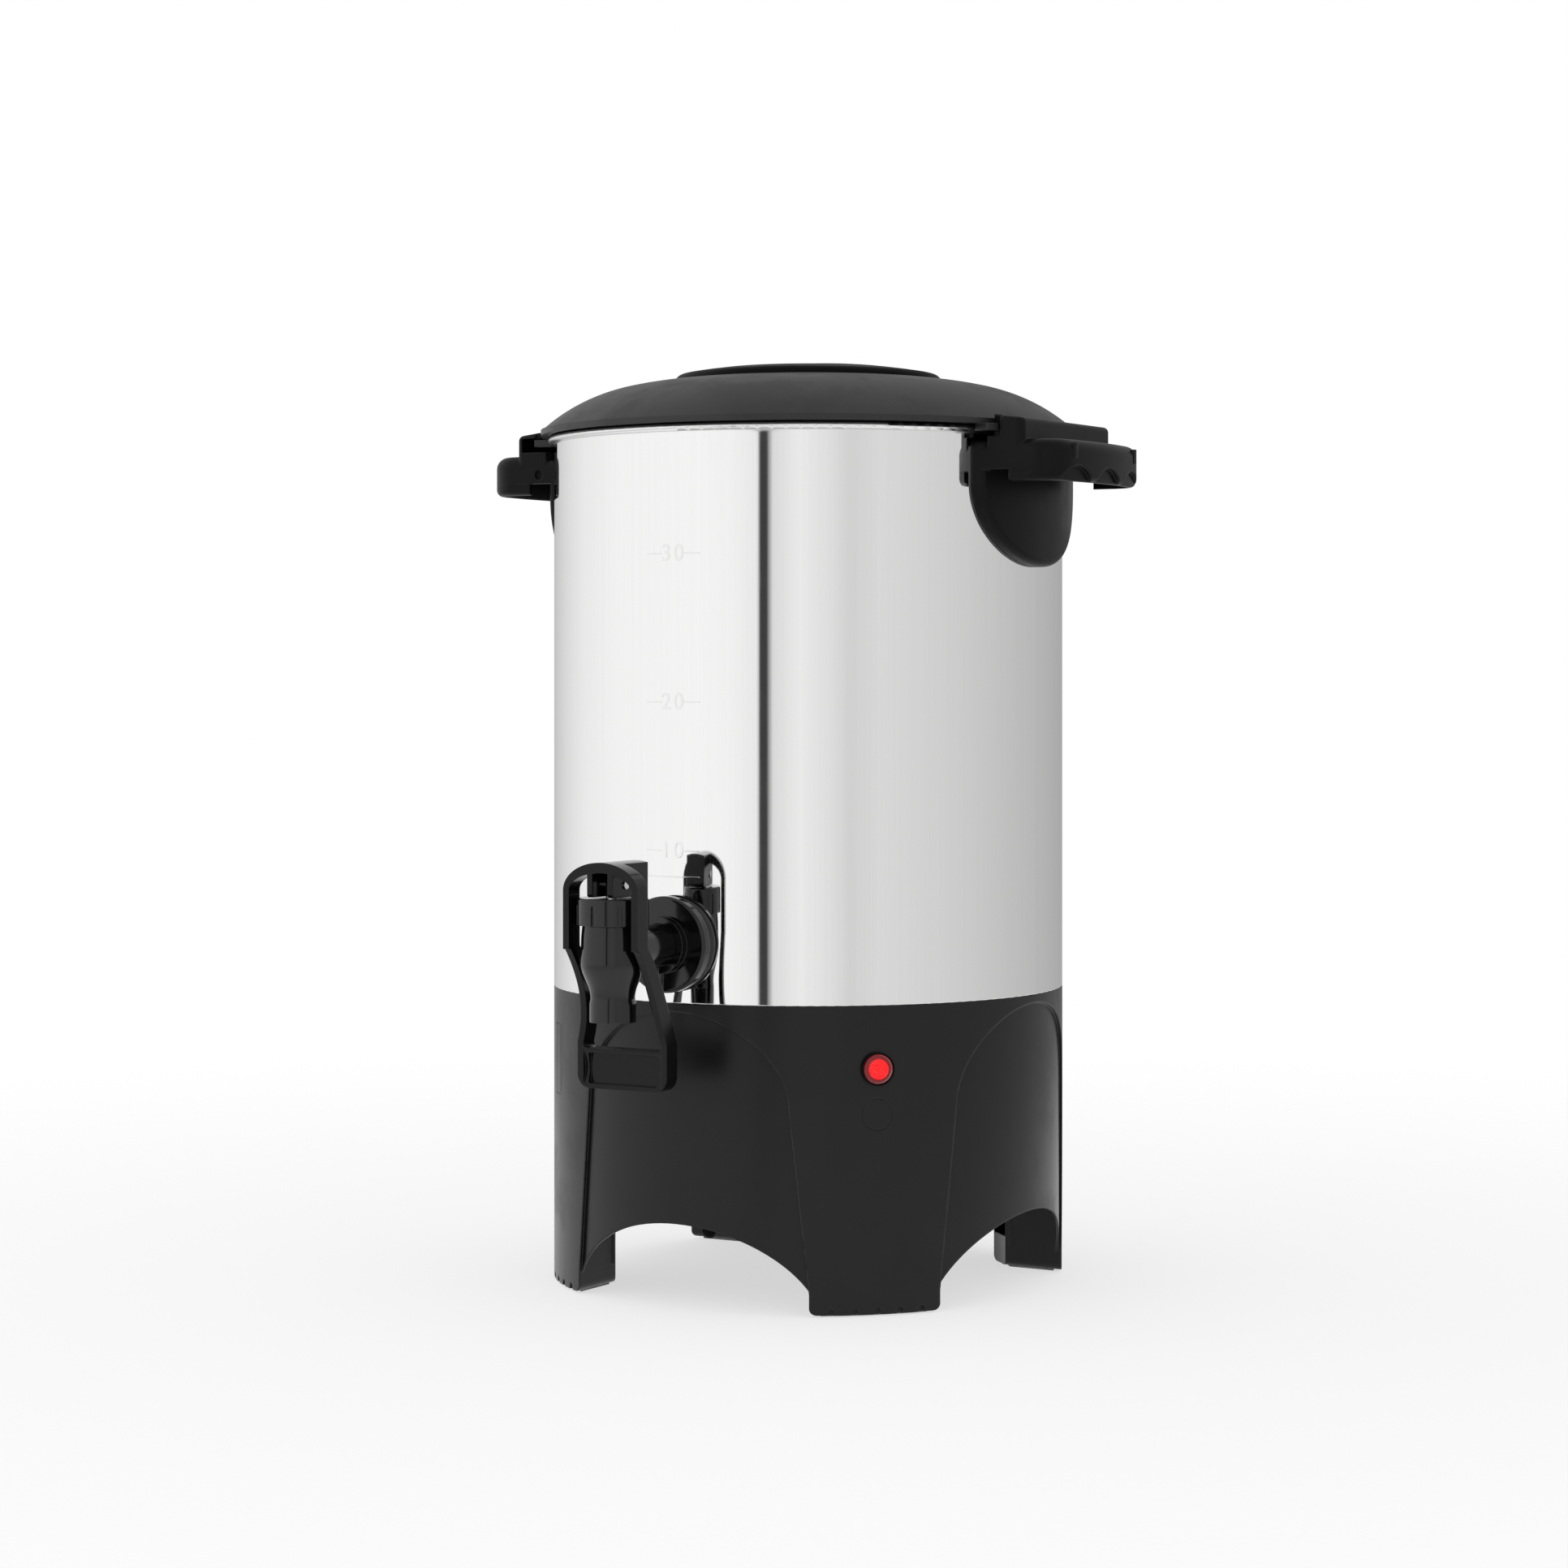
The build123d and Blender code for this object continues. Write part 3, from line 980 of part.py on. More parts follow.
def lock_pocket():
    """Pocket along the grip: closed at one end, open at the other and towards the lid."""
    cavity_low, cavity_high = GRIP_TOP_Z + POCKET_FLOOR, LUG_Z + LUG_FOOT_HEIGHT + POCKET_ROOM
    ends = POCKET_INNER * cos(asin(GRIP_HALF_WIDTH / POCKET_INNER))
    top = cavity_high + HOOK_THICKNESS + HOOK_SLOPE * ends
    low = GRIP_TOP_Z - GRIP_EDGE_ROUND
    plan = Rectangle(2 * GRIP_HALF_WIDTH, POCKET_REACH, align=(Align.CENTER, Align.MAX))
    plan = fillet(plan.vertices().group_by(Axis.Y)[0], POCKET_CORNER)
    outer = Pos(0, 0, low) * extrude(plan, top - low)
    far = POCKET_REACH + OVERCUT
    slope = Polygon(
        (0, top), (-far, top - HOOK_SLOPE * far), (-far, top + OVERCUT), (0, top + OVERCUT), align=None
    )
    outer -= side_prism(slope, GRIP_REACH)
    outer = fillet(outer.faces().sort_by(Axis.Z)[-1].edges(), HOOK_ROUND)
    outer -= disc(POCKET_INNER, low - OVERCUT, top + OVERCUT)
    for side in (-1, 1):
        angles = sorted((side * POCKET_LUG_ANGLE, side * 2 * POCKET_LUG_ANGLE))
        lug_room = sector(*angles, GRIP_REACH, cavity_low, top + OVERCUT)
        outer -= lug_room & disc(LUG_OUTER + POCKET_ROOM, cavity_low, top + OVERCUT)
    cavity = block((-GRIP_REACH, GRIP_REACH), (-POCKET_REACH + POCKET_WALL, 0), (cavity_low, cavity_high))
    cavity &= sector(POCKET_CLOSED_ANGLE, 3 * POCKET_LUG_ANGLE, GRIP_REACH, cavity_low, cavity_high)
    return outer - cavity - grip_hollow()


def handle(bearing):
    """Side handle: shield plate, hollow grip, lock pocket and two screw bosses."""
    body = shield_plate() + grip_tray() + lock_pocket()
    screw_z = GRIP_TOP_Z - HANDLE_SCREW_DROP
    boss = radial_rod(HANDLE_BOSS_RADIUS, SHIELD_OUTER - WELD, SHIELD_OUTER + HANDLE_BOSS_LENGTH, screw_z)
    bore_end = VESSEL_RADIUS + HANDLE_SCREW_LENGTH
    bore = radial_rod(HANDLE_SCREW_RADIUS, SHIELD_INNER - OVERCUT, bore_end, screw_z)
    for side in (-1, 1):
        body += at_bearing(boss, side * HANDLE_SCREW_ANGLE)
    body -= disc(SHIELD_INNER, SHIELD_TIP_Z - OVERCUT, LIP_Z + 10 * OVERCUT)
    for side in (-1, 1):
        body -= at_bearing(bore, side * HANDLE_SCREW_ANGLE)
    gate = Pos(GRIP_HALF_WIDTH - GATE_DEPTH, -SHIELD_OUTER + GATE_RADIUS, GRIP_TOP_Z - GATE_DROP)
    body -= gate * Rot(0, 90, 0) * Cylinder(GATE_RADIUS, 2 * GATE_DEPTH, align=BOTTOM)
    return at_bearing(whole(body), bearing)


def handle_screws(bearing):
    """Two screws from inside the vessel into the handle's bosses."""
    z = GRIP_TOP_Z - HANDLE_SCREW_DROP
    seat = VESSEL_INNER - WASHER_THICKNESS
    tip = VESSEL_RADIUS + HANDLE_SCREW_LENGTH - HANDLE_SCREW_END
    screw = radial_rod(HANDLE_SCREW_RADIUS, seat, tip, z)
    screw += radial_rod(SCREW_HEAD_RADIUS, seat - SCREW_HEAD_HEIGHT, seat, z)
    return Compound(children=[at_bearing(screw, bearing + side * HANDLE_SCREW_ANGLE) for side in (-1, 1)])


def handle_washers(bearing):
    """Two sealing washers under the screw heads, shaped to the vessel's wall."""
    z = GRIP_TOP_Z - HANDLE_SCREW_DROP
    washer = radial_rod(WASHER_RADIUS, VESSEL_INNER - WASHER_THICKNESS, VESSEL_RADIUS, z)
    washer &= disc(VESSEL_INNER, z - 2 * WASHER_RADIUS, z + 2 * WASHER_RADIUS)
    washer -= radial_rod(HANDLE_SCREW_RADIUS, VESSEL_INNER / 2, VESSEL_RADIUS + OVERCUT, z)
    bearings = [bearing + side * HANDLE_SCREW_ANGLE for side in (-1, 1)]
    return Compound(children=[whole(at_bearing(washer, place)) for place in bearings])


# ---------------------------------------------------------------- tap
def tap_outline():
    """Outer outline of the tap's body from the nozzle's mouth to the bonnet seam."""
    waist = [
        (NOZZLE_RADIUS, NOZZLE_MOUTH_Z),
        (NOZZLE_RADIUS, NOZZLE_TOP_Z - NOZZLE_SHOULDER),
        (BODY_NECK_RADIUS, NOZZLE_TOP_Z),
    ]
    top = (BODY_TOP_RADIUS, BODY_TOP_Z)
    lines = [
        Line((0, NOZZLE_MOUTH_Z), waist[0]),
        Polyline(*waist),
        Spline(waist[-1], (BODY_WAIST_RADIUS, NOZZLE_TOP_Z + BODY_WAIST_RISE),
               (BODY_BELLY_RADIUS, TAP_Z - BODY_BELLY_DROP), (BODY_BELLY_RADIUS, TAP_Z), top,
               tangents=[(0, 1), (-0.15, 1)]),
        Line(top, (0, BODY_TOP_Z)),
        Line((0, BODY_TOP_Z), (0, NOZZLE_MOUTH_Z)),
    ]
    return make_face(Curve() + lines)


def tap_body():
    """Moulded body with its shank, seat, chamber and nozzle."""
    neck_top = BODY_TOP_Z + BONNET_OVERLAP
    neck_radius = BODY_TOP_RADIUS - NECK_STEP
    body = Pos(0, -TAP_REACH, 0) * revolve(Plane.XZ * tap_outline(), Axis.Z)
    body += Pos(0, -TAP_REACH, 0) * disc(neck_radius, BODY_TOP_Z - WELD, neck_top)
    body += radial_rod(SHANK_RADIUS, VESSEL_INNER - SHANK_INSIDE, TAP_REACH, TAP_Z)
    body -= radial_rod(SHANK_BORE, VESSEL_INNER - SHANK_INSIDE - OVERCUT, TAP_REACH, TAP_Z)
    body -= Pos(0, -TAP_REACH, 0) * disc(CHAMBER_RADIUS, SEAT_Z, neck_top + OVERCUT)
    body -= Pos(0, -TAP_REACH, 0) * disc(NOZZLE_BORE, NOZZLE_MOUTH_Z - OVERCUT, SEAT_Z + OVERCUT)
    return whole(body)


def tap_flange():
    """Stepped ring that clamps the outer gasket to the vessel."""
    near = VESSEL_RADIUS + OUTER_GASKET
    flange = radial_rod(FLANGE_RADIUS, near, near + FLANGE_THICKNESS, TAP_Z)
    flange = fillet(flange.edges().sort_by(Axis.Y)[0], FLANGE_ROUND)
    far = near + FLANGE_THICKNESS + FLANGE_STEP
    flange += radial_rod(FLANGE_STEP_RADIUS, near + FLANGE_THICKNESS / 2, far, TAP_Z)
    return whole(flange - radial_rod(SHANK_RADIUS + BORE_GAP, near - OVERCUT, far + OVERCUT, TAP_Z))


def tap_outer_gasket():
    """Rubber gasket shaped to the vessel's outer face."""
    far = VESSEL_RADIUS + OUTER_GASKET
    gasket = radial_rod(FLANGE_RADIUS - OUTER_GASKET_INSET, VESSEL_INNER / 2, far, TAP_Z)
    gasket -= disc(VESSEL_RADIUS, TAP_Z - 2 * FLANGE_RADIUS, TAP_Z + 2 * FLANGE_RADIUS)
    return whole(gasket - radial_rod(SHANK_RADIUS + BORE_GAP, 0, far + OVERCUT, TAP_Z))


def tap_inner_gasket():
    """Rubber gasket shaped to the vessel's inner face."""
    near = VESSEL_INNER - INNER_GASKET
    gasket = radial_rod(INNER_GASKET_RADIUS, near, VESSEL_RADIUS, TAP_Z)
    gasket &= disc(VESSEL_INNER, TAP_Z - 2 * INNER_GASKET_RADIUS, TAP_Z + 2 * INNER_GASKET_RADIUS)
    return whole(gasket - radial_rod(SHANK_RADIUS + BORE_GAP, 0, VESSEL_RADIUS + OVERCUT, TAP_Z))


def tap_nut():
    """Lobed nut on the shank inside the vessel."""
    far = VESSEL_INNER - INNER_GASKET
    near = far - TAP_NUT_THICKNESS
    nut = radial_rod(TAP_NUT_RADIUS, near, far, TAP_Z)
    for index in range(TAP_NUT_LUGS):
        angle = radians(360 / TAP_NUT_LUGS * index)
        circle = TAP_NUT_RADIUS + TAP_NUT_NOTCH_OUT
        place = Pos(circle * cos(angle), 0, circle * sin(angle))
        nut -= place * radial_rod(TAP_NUT_NOTCH, near - OVERCUT, far + OVERCUT, TAP_Z)
    return whole(nut - radial_rod(SHANK_RADIUS + BORE_GAP, near - OVERCUT, far + OVERCUT, TAP_Z))


def tap_bonnet():
    """Grooved collar screwed over the body's neck, with the stem's bore in its crown."""
    crown_low = BONNET_TOP - BONNET_CAP
    bonnet = disc(BONNET_RADIUS, BODY_TOP_Z, BONNET_TOP)
    bonnet = fillet(bonnet.edges().group_by(Axis.Z)[-1], BONNET_ROUND)
    bonnet -= disc(BODY_TOP_RADIUS - NECK_STEP + BORE_GAP, BODY_TOP_Z - OVERCUT, crown_low)
    bonnet -= disc(STEM_RADIUS + BORE_GAP, BODY_TOP_Z, BONNET_TOP + OVERCUT)
    groove_half, groove_top = BONNET_GROOVE_WIDTH / 2, BONNET_TOP - BONNET_GROOVE_DROP
    outline = Pos(0, groove_top - groove_half) * Circle(groove_half)
    outline += Pos(0, BODY_TOP_Z - OVERCUT) * Rectangle(
        BONNET_GROOVE_WIDTH, groove_top - groove_half - BODY_TOP_Z + OVERCUT, align=(Align.CENTER, Align.MIN)
    )
    groove = front_prism(outline, BONNET_RADIUS - BONNET_GROOVE_DEPTH, BONNET_RADIUS + OVERCUT)
    for index in range(BONNET_GROOVES):
        bonnet -= at_bearing(groove, index * 360 / BONNET_GROOVES)
    return Pos(0, -TAP_REACH, 0) * whole(bonnet)


def tap_o_ring():
    """O-ring round the stem, under the bonnet's crown."""
    z = BONNET_TOP - BONNET_CAP - O_RING_RADIUS
    return Pos(0, -TAP_REACH, z) * Torus(STEM_RADIUS + BORE_GAP + O_RING_RADIUS, O_RING_RADIUS)


def tap_stem():
    """Round stem from the seat cup up to the lever's pin."""
    stem = disc(STEM_RADIUS, CUP_Z + CUP_HEIGHT / 2, HINGE_PIN_Z)
    stem += Pos(0, 0, HINGE_PIN_Z) * Sphere(STEM_RADIUS)
    stem -= Pos(0, 0, HINGE_PIN_Z) * Rot(0, 90, 0) * Cylinder(HINGE_PIN_RADIUS + BORE_GAP, 4 * STEM_RADIUS)
    return Pos(0, -TAP_REACH, 0) * whole(stem)


def tap_seat_cup():
    """Silicone cup that closes the seat, pushed over the stem's lower end."""
    cup = disc(CUP_RADIUS, CUP_Z, CUP_Z + CUP_HEIGHT)
    cup = fillet(cup.edges().group_by(Axis.Z)[-1], CUP_ROUND)
    cup -= disc(STEM_RADIUS, CUP_Z + CUP_HEIGHT / 2, CUP_Z + 2 * CUP_HEIGHT)
    return Pos(0, -TAP_REACH, 0) * cup


def tap_spring():
    """Coil spring between the cup and the O-ring's place."""
    low = CUP_Z + CUP_HEIGHT + SPRING_WIRE
    high = BONNET_TOP - BONNET_CAP - 2 * O_RING_RADIUS - SPRING_WIRE
    path = Helix((high - low) / SPRING_TURNS, high - low, SPRING_RADIUS)
    start = Plane(origin=path @ 0, z_dir=path % 0)
    coil = sweep(start * Circle(SPRING_WIRE), path, is_frenet=True)
    return Pos(0, -TAP_REACH, low) * coil


def lever_front(half, flare, top, low):
    """Front outline of the lever or of its window, from its crown down to a level."""
    spring_z = LEVER_TOP_Z - LEVER_CROWN
    flare_z, end_z = TAP_Z - LEVER_FLARE_DROP, LEVER_BAR_TOP_Z + LEVER_FLARE_END
    lines = [Line((-half, spring_z), (half, spring_z)), Line((-flare, low), (flare, low))]
    for side in (-1, 1):
        lines += [
            Line((side * half, spring_z), (side * half, flare_z)),
            TangentArc((side * half, flare_z), (side * flare, end_z), tangent=(0, -1)),
            Line((side * flare, end_z), (side * flare, low)),
        ]
    crown = Pos(0, spring_z) * Ellipse(half, top - spring_z)
    return make_face(Curve() + lines) + crown


def lever_side():
    """Side outline of the lever: upright arch, a bend, and arms that sweep back to the crossbar."""
    front, back = LEVER_FACE, LEVER_FACE + LEVER_DEPTH
    bar_front, bar_back = front + LEVER_SWEEP, back + LEVER_SWEEP
    high, low = LEVER_TOP_Z + OVERCUT, LEVER_BAR_BOTTOM_Z - OVERCUT
    knee_z, bar_z = LEVER_BEND_Z + LEVER_KNEE, LEVER_BAR_TOP_Z
    lines = [
        Polyline((front + LEVER_STEP, LEVER_BEND_Z), (front, LEVER_BEND_Z), (front, high), (back, high),
                 (back, knee_z)),
        TangentArc((bar_back, bar_z + LEVER_KNEE), (back, knee_z), tangent=(0, 1)),
        Polyline((bar_back, bar_z + LEVER_KNEE), (bar_back, low), (bar_front, low), (bar_front, bar_z)),
        TangentArc((bar_front, bar_z), (front + LEVER_STEP, LEVER_BEND_Z), tangent=(0, 1)),
    ]
    return make_face(Curve() + lines)


def tap_lever():
    """Push-back lever: an arch over the tap, two arms and a dished crossbar behind the nozzle."""
    outline = lever_front(LEVER_HALF_WIDTH, LEVER_FLARE_HALF, LEVER_TOP_Z, LEVER_BAR_BOTTOM_Z)
    prism = front_prism(outline, TAP_REACH - 2 * LEVER_SWEEP, TAP_REACH + 2 * LEVER_DEPTH)
    rounded = fillet(outline.vertices().group_by(Axis.Y)[0], LEVER_BAR_ROUND)
    window = lever_front(
        LEVER_HALF_WIDTH - LEVER_ARM, LEVER_FLARE_HALF - LEVER_ARM, LEVER_TOP_Z - LEVER_BAND, LEVER_BAR_TOP_Z
    )
    window = fillet(window.vertices().group_by(Axis.Y)[0], LEVER_WINDOW_ROUND)
    frame = front_prism(rounded - window, TAP_REACH - 2 * LEVER_SWEEP, TAP_REACH + 2 * LEVER_DEPTH)
    lever = frame & side_prism(lever_side(), LEVER_FLARE_HALF + OVERCUT)
    dish_y = LEVER_FACE + LEVER_SWEEP + LEVER_DISH_DEPTH - LEVER_DISH_RADIUS
    dish = Rot(0, 90, 0) * Cylinder(LEVER_DISH_RADIUS, 2 * (LEVER_FLARE_HALF - LEVER_ARM))
    bar_z = (LEVER_BAR_TOP_Z + LEVER_BAR_BOTTOM_Z) / 2
    lever -= Pos(0, dish_y, bar_z) * dish
    panel_width = 2 * (LEVER_FLARE_HALF - LEVER_ARM - LEVER_PANEL_RIM)
    panel = RectangleRounded(panel_width, LEVER_BAR_HEIGHT - 2 * LEVER_PANEL_RIM, LEVER_PANEL_ROUND)
    panel_floor = LEVER_FACE + LEVER_SWEEP + LEVER_DISH_DEPTH + LEVER_PANEL_DEPTH
    lever -= front_prism(Pos(0, bar_z) * panel, -panel_floor, -LEVER_FACE)
    return whole(lever + (lever_ears() & prism))


def lever_ears():
    """Two ears behind the arch that hold the pin; their front lower edge is the heel."""
    back = -TAP_REACH + EAR_BACK
    profile = Polygon(
        (LEVER_FACE, EAR_LOW), (back, EAR_LOW), (back, LEVER_TOP_Z), (LEVER_FACE, LEVER_TOP_Z), align=None
    )
    profile = fillet(profile.vertices().group_by(Axis.Y)[0], HEEL_ROUND)
    half = EAR_GAP / 2 + EAR_THICKNESS
    ears = side_prism(profile, half)
    slot_back = -TAP_REACH + STEM_RADIUS + STEM_ROOM
    slot_x, slot_z = (-EAR_GAP / 2, EAR_GAP / 2), (EAR_LOW - OVERCUT, LEVER_TOP_Z - LEVER_BAND)
    ears -= block(slot_x, (LEVER_FACE - OVERCUT, slot_back), slot_z)
    pin_hole = Pos(0, -TAP_REACH, HINGE_PIN_Z) * Rot(0, 90, 0) * Cylinder(HINGE_PIN_RADIUS, 4 * half)
    return ears - pin_hole


def tap_lever_pin():
    """Cross pin through the ears and the stem."""
    length = EAR_GAP + 2 * EAR_THICKNESS + 2 * HINGE_PIN_PROUD
    return Pos(0, -TAP_REACH, HINGE_PIN_Z) * Rot(0, 90, 0) * Cylinder(HINGE_PIN_RADIUS, length)


# ---------------------------------------------------------------- brewing parts
def pump_foot():
    """Flared washer that covers the boiling chamber in the well."""
    low = WELL_LOW + FLOOR_WALL + SEAT_GAP
    top_radius = PUMP_TUBE_RADIUS + PUMP_FOOT_COLLAR
    top, inner_radius = low + PUMP_FOOT_HEIGHT, PUMP_FOOT_RADIUS - PUMP_FOOT_WALL
    foot = turned([
        (PUMP_FOOT_RADIUS, low), (PUMP_FOOT_RADIUS, low + PUMP_FOOT_LIP), (top_radius, top),
        (PUMP_TUBE_RADIUS, top), (PUMP_TUBE_RADIUS, top - 2 * PUMP_FOOT_WALL),
        (inner_radius, low + PUMP_FOOT_LIP / 2), (inner_radius, low),
    ])
    for index in range(4):
        slot = block(
            (-PUMP_SLOT_WIDTH / 2, PUMP_SLOT_WIDTH / 2),
            (-PUMP_FOOT_RADIUS - OVERCUT, -PUMP_FOOT_RADIUS / 2),
            (low - OVERCUT, low + PUMP_SLOT_HEIGHT),
        )
        foot -= at_bearing(slot, 90 * index)
    return whole(foot)


def pump_tube():
    """Tube that carries the boiling water up, with the shoulder that the basket rests on."""
    low = WELL_LOW + FLOOR_WALL + SEAT_GAP + PUMP_FOOT_HEIGHT - 2 * PUMP_FOOT_WALL
    tube = disc(PUMP_TUBE_RADIUS, low, PUMP_TUBE_TOP_Z)
    shoulder_low = BASKET_Z - BORE_GAP - PUMP_SHOULDER_HEIGHT
    tube += disc(PUMP_SHOULDER_RADIUS, shoulder_low, shoulder_low + PUMP_SHOULDER_HEIGHT)
    return whole(tube - disc(PUMP_TUBE_RADIUS - PUMP_TUBE_WALL, low - OVERCUT, PUMP_TUBE_TOP_Z + OVERCUT))


def hole_pattern(rings, radius, low, high):
    """Drilled rings of holes: circle radius to number of holes."""
    drills = []
    for circle, count in rings.items():
        for index in range(count):
            drills.append(Rot(0, 0, 360 / count * index) * Pos(circle, 0, 0) * disc(radius, low, high))
    return drills


def coffee_basket():
    """Pressed basket with a drilled floor and a sleeve round the pump tube."""
    top = BASKET_Z + BASKET_HEIGHT
    bore = PUMP_TUBE_RADIUS + SLIDE_GAP
    basket = ring(BASKET_RADIUS, BASKET_RADIUS - BASKET_WALL, BASKET_Z, top)
    basket += ring(BASKET_RADIUS, bore, BASKET_Z, BASKET_Z + BASKET_WALL)
    basket += ring(BASKET_SLEEVE_RADIUS, bore, BASKET_Z, top - SPREADER_RIM_DEPTH)
    basket += ring(BASKET_RADIUS + BASKET_RIM, BASKET_RADIUS - BASKET_WALL, top - BASKET_WALL, top)
    drills = hole_pattern(BASKET_HOLE_RINGS, BASKET_HOLE_RADIUS, BASKET_Z - OVERCUT, BASKET_Z + OVERCUT)
    return whole(basket - drills)


def basket_spreader():
    """Drilled cover that spreads the water over the coffee grounds."""
    seat = BASKET_Z + BASKET_HEIGHT + BORE_GAP
    bore = PUMP_TUBE_RADIUS + SLIDE_GAP
    rim = BASKET_RADIUS - BASKET_WALL - SLIDE_GAP
    spreader = ring(BASKET_RADIUS + BASKET_RIM, bore, seat, seat + SPREADER_THICKNESS)
    rim_low = seat - SPREADER_RIM_DEPTH + BORE_GAP
    spreader += ring(rim, rim - SPREADER_THICKNESS, rim_low, seat + SPREADER_THICKNESS)
    spreader += ring(2 * bore, bore, seat, seat + SPREADER_CROWN)
    drills = hole_pattern(SPREADER_HOLE_RINGS, SPREADER_HOLE_RADIUS, seat - OVERCUT, seat + 2 * OVERCUT)
    return whole(spreader - drills)


# ---------------------------------------------------------------- all sub-parts
def sub_parts():
    """Every node's name and shape."""
    parts = {
        "vessel_shell": vessel_shell(),
        "vessel_floor": vessel_floor(),
        "lid_shell": lid_shell(),
        "lid_grip": lid_grip(),
        "lid_grip_screw": lid_grip_screw(),
        "base_skirt": base_skirt(),
        "base_cover": base_cover(),
        "base_studs": base_studs(),
        "base_cap_nuts": base_cap_nuts(),
        "foot_pads": foot_pads(),
        "brew_heater": brew_heater(),
        "warm_heater": warm_heater(),
        "heater_clamp": heater_clamp(),
        "heater_stud": heater_stud(),
        "heater_nut": heater_nut(),
        "thermostat": thermostat(),
        "thermal_fuse": thermal_fuse(),
        "terminal_block": terminal_block(),
        "mains_wires": mains_wires(),
        "heater_wires": heater_wires(),
        "indicator_lamp_body": indicator_lamp_body(),
        "indicator_lens": indicator_lens(),
        "indicator_neon": indicator_neon(),
        "indicator_retainer": indicator_retainer(),
        "inlet_housing": inlet_housing(),
        "inlet_pins": inlet_pins(),
        "tap_body": tap_body(),
        "tap_flange": tap_flange(),
        "tap_outer_gasket": tap_outer_gasket(),
        "tap_inner_gasket": tap_inner_gasket(),
        "tap_nut": tap_nut(),
        "tap_bonnet": tap_bonnet(),
        "tap_o_ring": tap_o_ring(),
        "tap_stem": tap_stem(),
        "tap_seat_cup": tap_seat_cup(),
        "tap_spring": tap_spring(),
        "tap_lever": tap_lever(),
        "tap_lever_pin": tap_lever_pin(),
        "pump_foot": pump_foot(),
        "pump_tube": pump_tube(),
        "coffee_basket": coffee_basket(),
        "basket_spreader": basket_spreader(),
    }
    for side, bearing in HANDLE_BEARINGS.items():
        parts[f"{side}_handle"] = handle(bearing)
        parts[f"{side}_handle_screws"] = handle_screws(bearing)
        parts[f"{side}_handle_washers"] = handle_washers(bearing)
    return parts


def main():
    """Write one STEP file for each sub-part."""
    os.makedirs("parts", exist_ok=True)
    for name, shape in sub_parts().items():
        export_step(shape, f"parts/{name}.step")
        print(name, len(shape.solids()))


main()
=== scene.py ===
"""Coffee urn: its studio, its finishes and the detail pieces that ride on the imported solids.

Metres, +Z up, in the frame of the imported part: the urn's axis is the Z axis and its tap faces -Y.
A bearing is an angle about +Z counted from the tap, positive towards +X.
"""

from __future__ import annotations

import json
import logging
import math
from dataclasses import dataclass, field
from enum import Enum
from typing import Any

import bpy
from mathutils import Matrix, Vector

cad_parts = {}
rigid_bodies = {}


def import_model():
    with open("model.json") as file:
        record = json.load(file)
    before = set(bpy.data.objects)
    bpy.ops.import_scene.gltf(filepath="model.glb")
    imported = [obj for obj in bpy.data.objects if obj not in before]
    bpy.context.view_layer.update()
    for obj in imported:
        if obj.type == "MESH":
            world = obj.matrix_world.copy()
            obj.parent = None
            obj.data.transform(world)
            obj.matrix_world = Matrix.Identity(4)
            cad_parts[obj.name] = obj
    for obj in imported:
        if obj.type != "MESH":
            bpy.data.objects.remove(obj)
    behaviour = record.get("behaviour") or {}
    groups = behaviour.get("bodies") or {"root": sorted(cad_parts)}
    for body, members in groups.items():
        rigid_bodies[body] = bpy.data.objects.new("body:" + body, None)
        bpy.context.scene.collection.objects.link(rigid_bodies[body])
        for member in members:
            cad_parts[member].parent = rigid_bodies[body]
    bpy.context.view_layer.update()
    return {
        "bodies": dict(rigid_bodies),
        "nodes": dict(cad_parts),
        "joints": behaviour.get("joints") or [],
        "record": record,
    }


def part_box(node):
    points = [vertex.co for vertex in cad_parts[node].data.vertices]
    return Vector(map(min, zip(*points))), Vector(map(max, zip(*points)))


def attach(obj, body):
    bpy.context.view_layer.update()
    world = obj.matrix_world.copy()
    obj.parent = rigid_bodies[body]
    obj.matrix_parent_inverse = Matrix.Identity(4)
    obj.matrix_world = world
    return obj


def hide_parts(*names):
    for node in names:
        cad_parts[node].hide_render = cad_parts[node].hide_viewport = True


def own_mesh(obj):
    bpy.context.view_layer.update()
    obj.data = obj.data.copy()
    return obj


LOG = logging.getLogger("coffee_urn")
Colour = tuple[float, float, float]
Point = tuple[float, float, float]
Material = bpy.types.Material
Socket = bpy.types.NodeSocket
MM = 0.001


